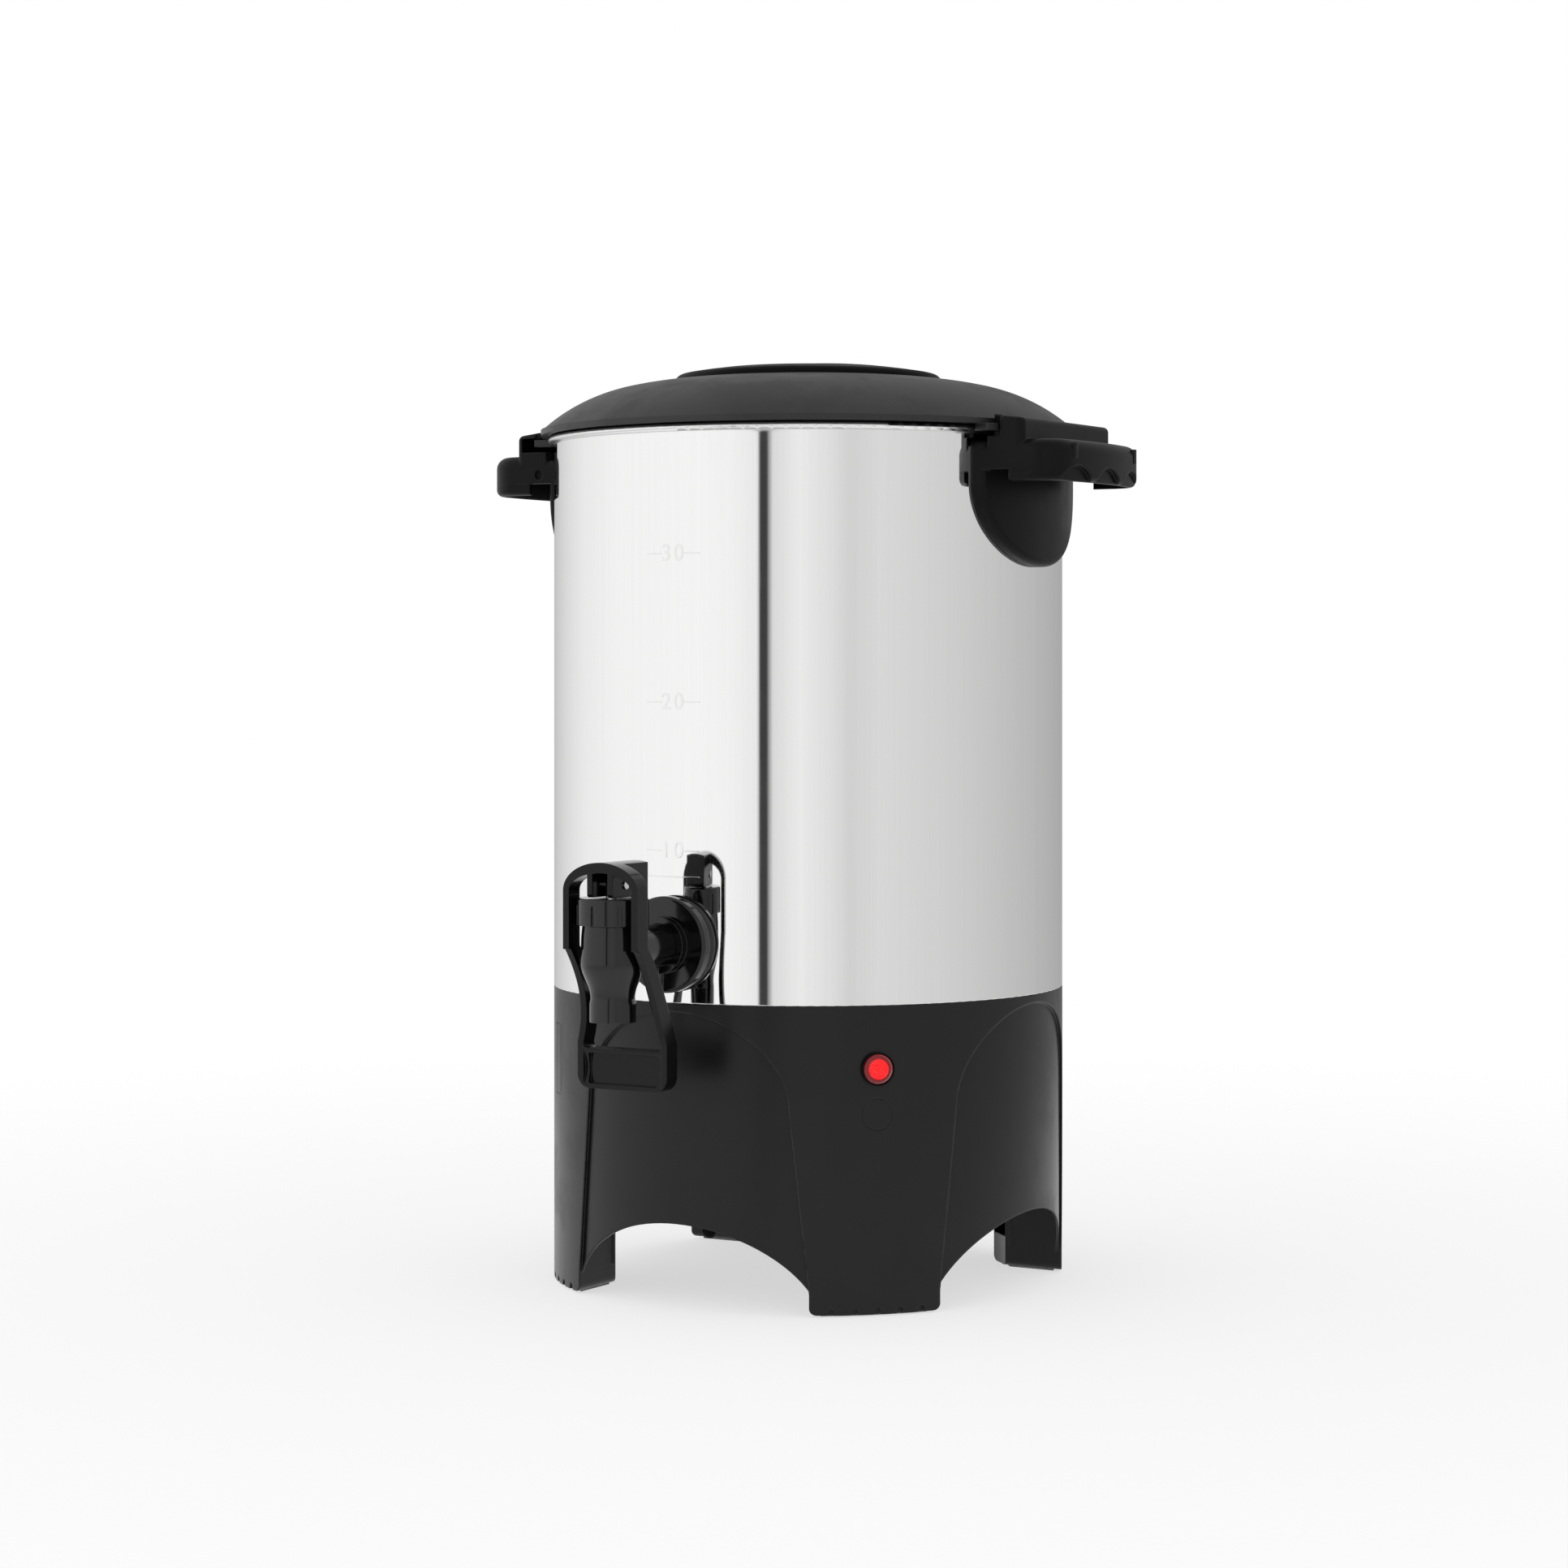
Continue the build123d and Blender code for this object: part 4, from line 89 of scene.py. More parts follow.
# ---------------------------------------------------------------- node trees
class Graph:
    """Adds nodes to one node tree and joins them."""

    def __init__(self, tree: bpy.types.NodeTree) -> None:
        """Work on a tree."""
        self.tree = tree

    def add(self, kind: str, inputs: dict[Any, Any] | None = None, **settings: Any) -> bpy.types.Node:
        """Add one node.

        Args:
            kind: The node's type.
            inputs: Values or sockets for its inputs, by name or by number.
            settings: Values of its properties.

        Returns:
            The new node.
        """
        node = self.tree.nodes.new(kind)
        for name, value in settings.items():
            setattr(node, name, value)
        for key, value in (inputs or {}).items():
            self.feed(node.inputs[key], value)
        return node

    def feed(self, target: Socket, value: Any) -> None:
        """Link a socket to an input, or set the input's value.

        Args:
            target: The input.
            value: A socket, or a plain value.
        """
        if isinstance(value, bpy.types.NodeSocket):
            self.tree.links.new(value, target)
        else:
            target.default_value = value

    def place(self, tree: bpy.types.NodeTree, **inputs: Any) -> bpy.types.Node:
        """Place a shared group and feed its named inputs.

        Args:
            tree: The group.
            inputs: Values or sockets for its inputs, by name.

        Returns:
            The group's node.
        """
        node = self.add("ShaderNodeGroup", node_tree=tree)
        for name, value in inputs.items():
            self.feed(node.inputs[name], value)
        return node

    def math(self, operation: str, *values: Any, clamp: bool = False) -> Socket:
        """Add a Math node and return its result."""
        node = self.add("ShaderNodeMath", dict(enumerate(values)), operation=operation, use_clamp=clamp)
        return node.outputs[0]

    def vector(self, operation: str, *values: Any) -> Socket:
        """Add a Vector Math node and return its result, a number for a product or a length."""
        node = self.add("ShaderNodeVectorMath", dict(enumerate(values)), operation=operation)
        return node.outputs["Value" if operation in ("DOT_PRODUCT", "LENGTH") else "Vector"]

    def scaled(self, vector: Any, factor: Any) -> Socket:
        """Multiply a vector by a number."""
        node = self.add("ShaderNodeVectorMath", {0: vector, "Scale": factor}, operation="SCALE")
        return node.outputs["Vector"]

    def times(self, first: Any, second: Any) -> Socket:
        """Multiply two numbers."""
        return self.math("MULTIPLY", first, second)

    def joined(self, x: Any = 0.0, y: Any = 0.0, z: Any = 0.0) -> Socket:
        """Join three numbers to a vector."""
        return self.add("ShaderNodeCombineXYZ", {0: x, 1: y, 2: z}).outputs[0]

    def split(self, vector: Any) -> Any:
        """Split a vector and return its parts, X, Y and Z."""
        return self.add("ShaderNodeSeparateXYZ", {0: vector}).outputs

    def from_axis(self, position: Any) -> Socket:
        """Distance of a position from the Z axis."""
        return self.vector("LENGTH", self.vector("MULTIPLY", position, (1.0, 1.0, 0.0)))

    def ramped(self, value: Any, start: float, end: float, low: Any = 0.0, high: Any = 1.0) -> Socket:
        """Map a value from one range to another, with soft ends.

        Args:
            value: The value.
            start: Where the first range starts.
            end: Where the first range ends.
            low: Result at the start.
            high: Result at the end.

        Returns:
            The mapped value.
        """
        node = self.add(
            "ShaderNodeMapRange",
            {"Value": value, "From Min": start, "From Max": end, "To Min": low, "To Max": high},
            interpolation_type="SMOOTHSTEP",
        )
        return node.outputs[0]

    def mixed(self, factor: Any, first: Any, second: Any) -> Socket:
        """Mix two colours."""
        node = self.add("ShaderNodeMix", {0: factor, 6: first, 7: second}, data_type="RGBA")
        return node.outputs[2]

    def noise(self, vector: Any, scale: Any, detail: float = 2.0, roughness: float = 0.5) -> Socket:
        """Add a Noise Texture and return its value."""
        inputs = {"Vector": vector, "Scale": scale, "Detail": detail, "Roughness": roughness}
        return self.add("ShaderNodeTexNoise", inputs).outputs[0]

    def emboss(self, shader: bpy.types.Node, height: Socket, depth: float, normal: Socket) -> None:
        """Feed a shader with a normal that a height of one bends by a depth."""
        inputs = {"Height": height, "Distance": depth, "Strength": 1.0, "Normal": normal}
        self.feed(shader.inputs["Normal"], self.add("ShaderNodeBump", inputs).outputs[0])

    def dressed(self, shape: Socket, material: Socket) -> Socket:
        """Make a shape real and give it a material."""
        solid = self.add("GeometryNodeRealizeInstances", {0: shape})
        return self.add("GeometryNodeSetMaterial", {0: solid.outputs[0], "Material": material}).outputs[0]


class SocketKind(Enum):
    """Kinds of socket that the groups use."""

    NUMBER = "NodeSocketFloat"
    VECTOR = "NodeSocketVector"
    TEXT = "NodeSocketString"
    GEOMETRY = "NodeSocketGeometry"
    MATERIAL = "NodeSocketMaterial"


NUMBER, VECTOR = SocketKind.NUMBER, SocketKind.VECTOR


def make_tree(
    name: str, kind: str, inputs: dict[str, SocketKind], outputs: dict[str, SocketKind]
) -> tuple[Graph, bpy.types.Node, bpy.types.Node]:
    """Make a node group with named sockets.

    Args:
        name: The group's name.
        kind: The tree's type, for shaders or for geometry.
        inputs: Names and kinds of its inputs.
        outputs: Names and kinds of its outputs.

    Returns:
        The graph, its input node and its output node.
    """
    tree = bpy.data.node_groups.new(name, kind)
    for direction, sockets in (("INPUT", inputs), ("OUTPUT", outputs)):
        for label, socket in sockets.items():
            tree.interface.new_socket(name=label, in_out=direction, socket_type=socket.value)
    graph = Graph(tree)
    return graph, graph.add("NodeGroupInput"), graph.add("NodeGroupOutput")


def make_shape_tree(name: str, *sizes: str, **others: SocketKind) -> tuple[Graph, Any, Socket]:
    """Make a geometry node tree with a Geometry and a Material input beside its sizes.

    Args:
        name: The tree's name.
        sizes: Names of the inputs that are numbers.
        others: Names and kinds of its other inputs.

    Returns:
        The graph, the sockets of its inputs by name, and the socket of its result.
    """
    inputs = {"Geometry": SocketKind.GEOMETRY, **others, **dict.fromkeys(sizes, NUMBER)}
    graph, given, result = make_tree(
        name, "GeometryNodeTree", {**inputs, "Material": SocketKind.MATERIAL},
        {"Geometry": SocketKind.GEOMETRY},
    )
    return graph, given.outputs, result.inputs[0]


def grey(level: float) -> tuple[float, float, float, float]:
    """A plain grey, opaque."""
    return level, level, level, 1.0


# ---------------------------------------------------------------- shared effects
class Effects:
    """Shader node groups that several finishes share.

    A scale is patches to the metre, and a range is where a mask starts and where it is full.
    """

    TONE_SCALE, TONE_RANGE = 0.035, (0.35, 0.65)    # patches to one grain
    BEND_SCALE, BEND = 22.0, 0.02                   # the bend in metres
    SMUDGE_SCALE, SMUDGE_RANGE = 34.0, (0.44, 0.68)
    SPECK_SCALE, SPECK_RANGE = 900.0, (0.6, 0.78)
    FACING_UP = (0.4, 0.95)
    # patches of the edge mask, which lightens edges both as rubbing and as a painted highlight
    WEAR_SCALE, WEAR_RANGE = 160.0, (0.3, 0.6)
    EDGE_RANGE = (0.02, 0.3)

    def __init__(self) -> None:
        """Build every group once."""
        self.grain = self.make_grain()
        self.handling = self.make_handling()
        self.soft_edge = self.make_soft_edge()
        self.lines = self.make_lines()
        self.seam = self.make_seam()

    def make_grain(self) -> bpy.types.NodeTree:
        """Fine surface grain of a moulding or casting: its height, and a slow change of tone.

        Returns:
            The shader node group.
        """
        graph, given, result = make_tree(
            "surface_grain", "ShaderNodeTree", {"Position": VECTOR, "Size": NUMBER},
            {"Height": NUMBER, "Tone": NUMBER},
        )
        cells = graph.scaled(given.outputs["Position"], graph.math("DIVIDE", 1.0, given.outputs["Size"]))
        graph.feed(result.inputs["Height"], graph.noise(cells, 1.0, 3.0, 0.6))
        slow = graph.noise(cells, self.TONE_SCALE, 3.0, 0.55)
        graph.feed(result.inputs["Tone"], graph.ramped(slow, *self.TONE_RANGE))
        return graph.tree

    def make_handling(self) -> bpy.types.NodeTree:
        """Marks of use: smudges from hands and wiping, and specks of dust on faces that look up.

        Returns:
            The shader node group.
        """
        graph, given, result = make_tree(
            "handling_marks", "ShaderNodeTree", {"Position": VECTOR}, {"Smudge": NUMBER, "Dust": NUMBER}
        )
        position = given.outputs["Position"]
        swirl = graph.add("ShaderNodeTexNoise", {"Vector": position, "Scale": self.BEND_SCALE})
        bent = graph.vector("ADD", position, graph.scaled(swirl.outputs["Color"], self.BEND))
        smudge = graph.ramped(graph.noise(bent, self.SMUDGE_SCALE, 4.0, 0.6), *self.SMUDGE_RANGE)
        graph.feed(result.inputs["Smudge"], smudge)
        up = graph.split(graph.add("ShaderNodeNewGeometry").outputs["Normal"])["Z"]
        specks = graph.ramped(graph.noise(position, self.SPECK_SCALE, 2.0, 0.7), *self.SPECK_RANGE)
        graph.feed(result.inputs["Dust"], graph.times(graph.ramped(up, *self.FACING_UP), specks))
        return graph.tree

    def make_soft_edge(self) -> bpy.types.NodeTree:
        """Small rounding of sharp edges: the rounded normal, and a mask of the edge itself.

        Returns:
            The shader node group.
        """
        graph, given, result = make_tree(
            "soft_edge", "ShaderNodeTree", {"Position": VECTOR, "Radius": NUMBER},
            {"Normal": VECTOR, "Edge": NUMBER},
        )
        position, radius = given.outputs["Position"], given.outputs["Radius"]
        rounded = graph.add("ShaderNodeBevel", {"Radius": radius}, samples=6).outputs["Normal"]
        flat = graph.add("ShaderNodeNewGeometry").outputs["Normal"]
        turn = graph.math("SUBTRACT", 1.0, graph.vector("DOT_PRODUCT", rounded, flat))
        # the patchy edge mask carries a lighter edge colour: rubbing, and a painted highlight
        patchy = graph.ramped(graph.noise(position, self.WEAR_SCALE, 3.0), *self.WEAR_RANGE)
        graph.feed(result.inputs["Normal"], rounded)
        graph.feed(result.inputs["Edge"], graph.times(graph.ramped(turn, *self.EDGE_RANGE), patchy))
        return graph.tree

    def make_lines(self) -> bpy.types.NodeTree:
        """Lines left by drawing or turning metal: upright on a wall, or round the urn's axis.

        Returns:
            The shader node group.
        """
        graph, given, result = make_tree(
            "metal_lines", "ShaderNodeTree",
            {"Position": VECTOR, "Across": NUMBER, "Along": NUMBER, "Turned": NUMBER}, {"Height": NUMBER},
        )
        across, along, position = (given.outputs[name] for name in ("Across", "Along", "Position"))
        drawn = graph.vector("MULTIPLY", position, graph.joined(across, across, along))
        round_axis = graph.joined(graph.from_axis(position), 0.0, graph.split(position)["Z"])
        chosen = graph.add("ShaderNodeMix", {
            0: given.outputs["Turned"], 4: drawn, 5: graph.scaled(round_axis, across)}, data_type="VECTOR")
        graph.feed(result.inputs["Height"], graph.noise(chosen.outputs[1], 1.0, 4.0, 0.65))
        return graph.tree

    def make_seam(self) -> bpy.types.NodeTree:
        """Thin line where an upright plane cuts a surface, on one side of a point only.

        Returns:
            The shader node group.
        """
        graph, given, result = make_tree(
            "parting_line", "ShaderNodeTree",
            {"Position": VECTOR, "Origin": VECTOR, "Across": VECTOR, "Front": VECTOR, "Width": NUMBER},
            {"Line": NUMBER},
        )
        offset = graph.vector("SUBTRACT", given.outputs["Position"], given.outputs["Origin"])
        away = graph.math("ABSOLUTE", graph.vector("DOT_PRODUCT", offset, given.outputs["Across"]))
        near = graph.math("SUBTRACT", 1.0, graph.math("DIVIDE", away, given.outputs["Width"]), clamp=True)
        ahead = graph.math("GREATER_THAN", graph.vector("DOT_PRODUCT", offset, given.outputs["Front"]), 0.0)
        graph.feed(result.inputs["Line"], graph.times(near, ahead))
        return graph.tree


# ---------------------------------------------------------------- finishes
@dataclass(frozen=True)
class Seam:
    """Upright line on a surface, such as a moulding's parting line or a weld.

    Attributes:
        origin: A point on the plane of the line.
        bearing: Bearing that the line faces.
        width: Half of its width.
    """

    origin: Point
    bearing: float
    width: float = 0.00025

    def add_to(self, graph: Graph, effects: Effects, position: Socket) -> Socket:
        """Place the shared group in a material.

        Args:
            graph: The material's graph.
            effects: The shared node groups.
            position: The position socket.

        Returns:
            The line's mask.
        """
        angle = math.radians(self.bearing)
        front = (math.sin(angle), -math.cos(angle), 0.0)
        node = graph.place(
            effects.seam, Position=position, Origin=self.origin, Front=front, Width=self.width,
            Across=(math.cos(angle), math.sin(angle), 0.0),
        )
        return node.outputs["Line"]


@dataclass(frozen=True)
class Finish:
    """What every finish has: a name, a colour and a mean roughness."""

    name: str
    colour: Colour
    roughness: float

    SMUDGING = (1.0, 1.0)   # shares of the roughness, clean and smudged

    def shade(self, share: float = 1.0) -> tuple[float, ...]:
        """The colour times a share, opaque."""
        return (*(share * part for part in self.colour), 1.0)

    def smudged(self, graph: Graph, marks: bpy.types.Node) -> Socket:
        """Roughness, higher where the surface is smudged."""
        low, high = self.SMUDGING
        return graph.ramped(marks.outputs["Smudge"], 0.0, 1.0, self.roughness * low, self.roughness * high)

    def start(self) -> tuple[Material, Graph, bpy.types.Node, Socket]:
        """Make the material with its Principled shader.

        Returns:
            The material, its graph, the shader node and the position socket.
        """
        material = bpy.data.materials.new(self.name)
        material.use_nodes = True
        graph = Graph(material.node_tree)
        shader = next(node for node in material.node_tree.nodes if node.type == "BSDF_PRINCIPLED")
        position = graph.add("ShaderNodeTexCoord").outputs["Object"]
        material.diffuse_color = self.shade()
        return material, graph, shader, position


@dataclass(frozen=True)
class Moulding(Finish):
    """Moulded plastic, rubber, silicone, ceramic or mica.

    Attributes:
        grain: Size of the surface grain.
        relief: Depth of the grain.
        edge: Radius that sharp edges are softened by.
        wear_and_highlight: Lighter colour of the edges, partly from rubbing and partly a painted highlight
            along them.
        polish: Specular level of the shader.
        dust: Share of dust on faces that look up.
        seam: Line left by the mould.
    """

    grain: float = 0.0005
    relief: float = 0.00002
    edge: float = 0.0005
    wear_and_highlight: Colour = (0.06, 0.06, 0.06)
    polish: float = 0.5
    dust: float = 0.04
    seam: Seam | None = None

    DARK = 0.86             # share of the colour in its darker patches
    SMUDGING = (0.92, 1.12)
    DUST_COLOUR = (0.5, 0.49, 0.47, 1.0)
    RUBBED_AND_HIGHLIGHT = 0.6            # share of the edge colour that the edges take: rubbing plus a painted highlight
    SEAM_COLOUR, SEAM_SHARE = grey(0.002), 0.8
    SEAM_DEPTH = 3.0        # times the relief

    def build(self, effects: Effects) -> Material:
        """Build the material.

        Args:
            effects: The shared node groups.

        Returns:
            The finished material.
        """
        material, graph, shader, position = self.start()
        grain = graph.place(effects.grain, Position=position, Size=self.grain)
        marks = graph.place(effects.handling, Position=position)
        edge = graph.place(effects.soft_edge, Position=position, Radius=self.edge)
        tone = graph.mixed(grain.outputs["Tone"], self.shade(self.DARK), self.shade())
        dusty = graph.mixed(graph.times(marks.outputs["Dust"], self.dust), tone, self.DUST_COLOUR)
        # edges lighter in a patchy band: partly rubbing, partly a painted highlight along them
        worn_and_highlit = graph.mixed(graph.times(edge.outputs["Edge"], self.RUBBED_AND_HIGHLIGHT), dusty, (*self.wear_and_highlight, 1.0))
        height = grain.outputs["Height"]
        if self.seam:
            line = self.seam.add_to(graph, effects, position)
            worn_and_highlit = graph.mixed(graph.times(line, self.SEAM_SHARE), worn_and_highlit, self.SEAM_COLOUR)
            height = graph.math("SUBTRACT", height, graph.times(line, self.SEAM_DEPTH))
        graph.feed(shader.inputs["Base Color"], worn_and_highlit)
        graph.feed(shader.inputs["Roughness"], self.smudged(graph, marks))
        shader.inputs["Specular IOR Level"].default_value = self.polish
        graph.emboss(shader, height, self.relief, edge.outputs["Normal"])
        return material


class Working(Enum):
    """How a metal surface was worked: share of turned lines against drawn ones."""

    DRAWN = 0.0
    TURNED = 1.0


@dataclass(frozen=True)
class Metal(Finish):
    """Drawn, turned, plated or cast metal.

    Attributes:
        working: Direction of its lines.
        across: Lines to the metre.
        along: Changes to the metre along a line.
        relief: Depth of the lines.
        edge: Radius that sharp edges are softened by.
        seam: Weld line.
        dull_above: Height over which the metal is duller, as on a rolled bead.
        satin_within: Distance from the urn's axis within which the metal is satin, as inside a vessel.
    """

    working: Working = Working.TURNED
    across: float = 2500.0
    along: float = 30.0
    relief: float = 0.000004
    edge: float = 0.0003
    seam: Seam | None = None
    dull_above: float | None = None
    satin_within: float | None = None

    DARK = 0.93             # share of the colour between the lines
    SMUDGING = (0.9, 1.2)
    WELD_COLOUR, WELD_SHARE = (0.42, 0.40, 0.37, 1.0), 0.35
    WELD_HEIGHT = 8.0       # times the relief
    WELD_ROUGHNESS = 0.2
    DULL_ROUGHNESS = 0.22
    SATIN_ROUGHNESS, SATIN_METALLIC = 0.34, 0.45

    def build(self, effects: Effects) -> Material:
        """Build the material.

        Args:
            effects: The shared node groups.

        Returns:
            The finished material.
        """
        material, graph, shader, position = self.start()
        lines = graph.place(
            effects.lines, Position=position, Across=self.across, Along=self.along, Turned=self.working.value)
        marks = graph.place(effects.handling, Position=position)
        edge = graph.place(effects.soft_edge, Position=position, Radius=self.edge)
        tone = graph.mixed(lines.outputs["Height"], self.shade(self.DARK), self.shade())
        height, rough = lines.outputs["Height"], self.smudged(graph, marks)
        if self.seam:
            line = self.seam.add_to(graph, effects, position)
            tone = graph.mixed(graph.times(line, self.WELD_SHARE), tone, self.WELD_COLOUR)
            height = graph.math("ADD", height, graph.times(line, self.WELD_HEIGHT))
            rough = graph.math("ADD", rough, graph.times(line, self.WELD_ROUGHNESS))
        if self.dull_above:
            start, end = self.dull_above - MM, self.dull_above + MM
            dull = graph.ramped(graph.split(position)["Z"], start, end, 0.0, self.DULL_ROUGHNESS)
            rough = graph.math("ADD", rough, dull)
        shader.inputs["Metallic"].default_value = 1.0
        if self.satin_within:
            inside = graph.math("LESS_THAN", graph.from_axis(position), self.satin_within)
            rough = graph.math("MAXIMUM", rough, graph.times(inside, self.SATIN_ROUGHNESS))
            lack = graph.times(inside, 1.0 - self.SATIN_METALLIC)
            graph.feed(shader.inputs["Metallic"], graph.math("SUBTRACT", 1.0, lack))
        graph.feed(shader.inputs["Base Color"], tone)
        graph.feed(shader.inputs["Roughness"], rough)
        graph.emboss(shader, height, self.relief, edge.outputs["Normal"])
        return material


@dataclass(frozen=True)
class Clear(Finish):
    """Clear or tinted plastic or glass.

    Attributes:
        through: Share of light that passes through.
        glow: Colour that the lit lamp gives off.
        polish: Specular level of the shader.
    """

    through: float = 0.6
    glow: Colour = (0.0, 0.0, 0.0)
    polish: float = 0.5

    GRAIN = 0.002
    DARK = 0.8              # share of the colour in its deeper patches
    SMUDGING = (0.9, 1.3)

    def build(self, effects: Effects) -> Material:
        """Build the material.

        Args:
            effects: The shared node groups.

        Returns:
            The finished material.
        """
        material, graph, shader, position = self.start()
        grain = graph.place(effects.grain, Position=position, Size=self.GRAIN)
        marks = graph.place(effects.handling, Position=position)
        graph.feed(shader.inputs["Base Color"], graph.mixed(
            grain.outputs["Tone"], self.shade(self.DARK), self.shade()))
        graph.feed(shader.inputs["Roughness"], self.smudged(graph, marks))
        shader.inputs["Transmission Weight"].default_value = self.through
        shader.inputs["Specular IOR Level"].default_value = self.polish
        shader.inputs["Emission Color"].default_value = (*self.glow, 1.0)
        shader.inputs["Emission Strength"].default_value = 1.0 if any(self.glow) else 0.0
        return material


class Finishes:
    """All the urn's finishes, built once and looked up by name."""

    SHEET = (
        Metal("polished_steel", (0.93, 0.93, 0.925), 0.04, Working.DRAWN, 1400.0, 5.0, 0.0000015, 0.0004,
              Seam((0.0, 0.0, 0.0), 180.0, 0.0006), 0.3095, 0.0946),
        Metal("stamped_steel", (0.90, 0.90, 0.895), 0.1, Working.DRAWN, 900.0, 30.0, 0.000002, 0.0002),
        Moulding("lid_black", (0.019, 0.019, 0.0195), 0.42, 0.0006, 0.00001, wear_and_highlight=(0.07, 0.07, 0.07)),
        Moulding("handle_black", (0.005, 0.005, 0.0055), 0.36, 0.0006, 0.000015, 0.0012, polish=0.13),
        # the skirt's brighter edge colour and wider edge band paint a highlight along its panel edges,
        # besides rubbing
        Moulding("skirt_black", (0.009, 0.009, 0.0095), 0.32, 0.0005, 0.000012, 0.0011, (0.1, 0.1, 0.1), 0.3),
        Moulding("cap_black", (0.005, 0.005, 0.0055), 0.45, 0.0008, 0.000004, polish=0.06),
        Moulding("tap_black", (0.006, 0.006, 0.0065), 0.12, 0.001, 0.000004, 0.0005),
        Moulding("lever_black", (0.005, 0.005, 0.0055), 0.14, 0.001, 0.000004, 0.0005, polish=0.24),
        Moulding("tap_body_black", (0.006, 0.006, 0.0065), 0.1, 0.001, 0.000004, 0.0004,
                 seam=Seam((0.0, -0.133, 0.0), 17.0, 0.00022)),
        Moulding("flange_black", (0.005, 0.005, 0.0055), 0.1, 0.001, 0.000004, 0.0004,
                 seam=Seam((0.0, 0.0, 0.0), 0.0, 0.0003)),
        Moulding("plain_black", (0.018, 0.018, 0.019), 0.45, 0.0005, 0.00002),
        Moulding("black_rubber", (0.02, 0.02, 0.02), 0.7, 0.0004, 0.00003, wear_and_highlight=(0.05, 0.05, 0.05)),
        # grey lifted so the pads read as lit inside the shaded notches: painted light
        Moulding("grey_rubber", (0.62, 0.62, 0.61), 0.75, 0.0005, 0.00003, wear_and_highlight=(0.66, 0.66, 0.65)),
        Moulding("silicone", (0.55, 0.54, 0.50), 0.5, 0.001, 0.00001, wear_and_highlight=(0.6, 0.6, 0.55)),
        Moulding("mica", (0.52, 0.45, 0.36), 0.8, 0.0015, 0.00005, wear_and_highlight=(0.6, 0.52, 0.4)),
        Moulding("ceramic", (0.80, 0.79, 0.76), 0.55, 0.0008, 0.00002, wear_and_highlight=(0.9, 0.9, 0.88)),
        Moulding("wire_sleeve", (0.5, 0.07, 0.045), 0.5, 0.0004, 0.00001, wear_and_highlight=(0.6, 0.2, 0.15)),
        Metal("drawn_aluminium", (0.74, 0.74, 0.75), 0.32, Working.TURNED, 1800.0, 20.0, 0.000006),
        Metal("cast_aluminium", (0.55, 0.55, 0.56), 0.5, Working.DRAWN, 500.0, 500.0, 0.00006, 0.0006),
        Metal("plated_steel", (0.72, 0.72, 0.71), 0.22, Working.TURNED, 3000.0, 30.0, 0.000003),
        Metal("brass", (0.72, 0.58, 0.30), 0.25, Working.DRAWN, 2000.0, 100.0, 0.000003),
        Clear("red_lens", (0.85, 0.012, 0.016), 0.16, 0.1, (0.52, 0.006, 0.008), 0.2),
        Clear("red_rim", (0.36, 0.014, 0.02), 0.14, 0.1, (0.02, 0.001, 0.001), 0.4),
        Clear("lamp_glass", (0.92, 0.88, 0.84), 0.05, 0.95),
    )

    def __init__(self) -> None:
        """Build the shared groups and every finish."""
        effects = Effects()
        self.materials = {finish.name: finish.build(effects) for finish in self.SHEET}
        LOG.info("built %d finishes", len(self.materials))

    def __getitem__(self, name: str) -> Material:
        """The material of a finish."""
        return self.materials[name]

    def dress(self, frame: dict[str, Any], nodes: dict[str, str]) -> None:
        """Give CAD nodes their finishes.

        Args:
            frame: The loaded frame.
            nodes: Node name to finish name.
        """
        for node, finish in nodes.items():
            for slot in frame["nodes"][node].material_slots:
                slot.material = self[finish]
            LOG.info("dressed %s in %s", node, finish)


# ---------------------------------------------------------------- making pieces
def link(name: str, mesh: bpy.types.Mesh) -> bpy.types.Object:
    """Put a mesh in the scene as an object at the origin.

    Args:
        name: The object's name.
        mesh: Its mesh.

    Returns:
        The new object.
    """
    piece = bpy.data.objects.new(name, mesh)
    bpy.context.scene.collection.objects.link(piece)
    return piece


def settle(piece: bpy.types.Object) -> bpy.types.Object:
    """Turn a piece's modifiers into a plain mesh.

    Args:
        piece: The piece, which is removed.

    Returns:
        A new object of the same name.
    """
    name = piece.name
    graph = bpy.context.evaluated_depsgraph_get()
    mesh = bpy.data.meshes.new_from_object(piece.evaluated_get(graph), depsgraph=graph)
    bpy.data.objects.remove(piece)
    return link(name, mesh)


def give_recipe(piece: bpy.types.Object, tree: bpy.types.NodeTree, values: dict[str, Any]) -> None:
    """Add a geometry node tree to a piece as a modifier.

    Args:
        piece: The piece.
        tree: The tree.
        values: Values of the tree's inputs, by name.
    """
    modifier = piece.modifiers.new(tree.name, "NODES")
    modifier.node_group = tree
    for item in tree.interface.items_tree:
        if item.in_out == "INPUT" and item.name in values:
            modifier[item.identifier] = values[item.name]


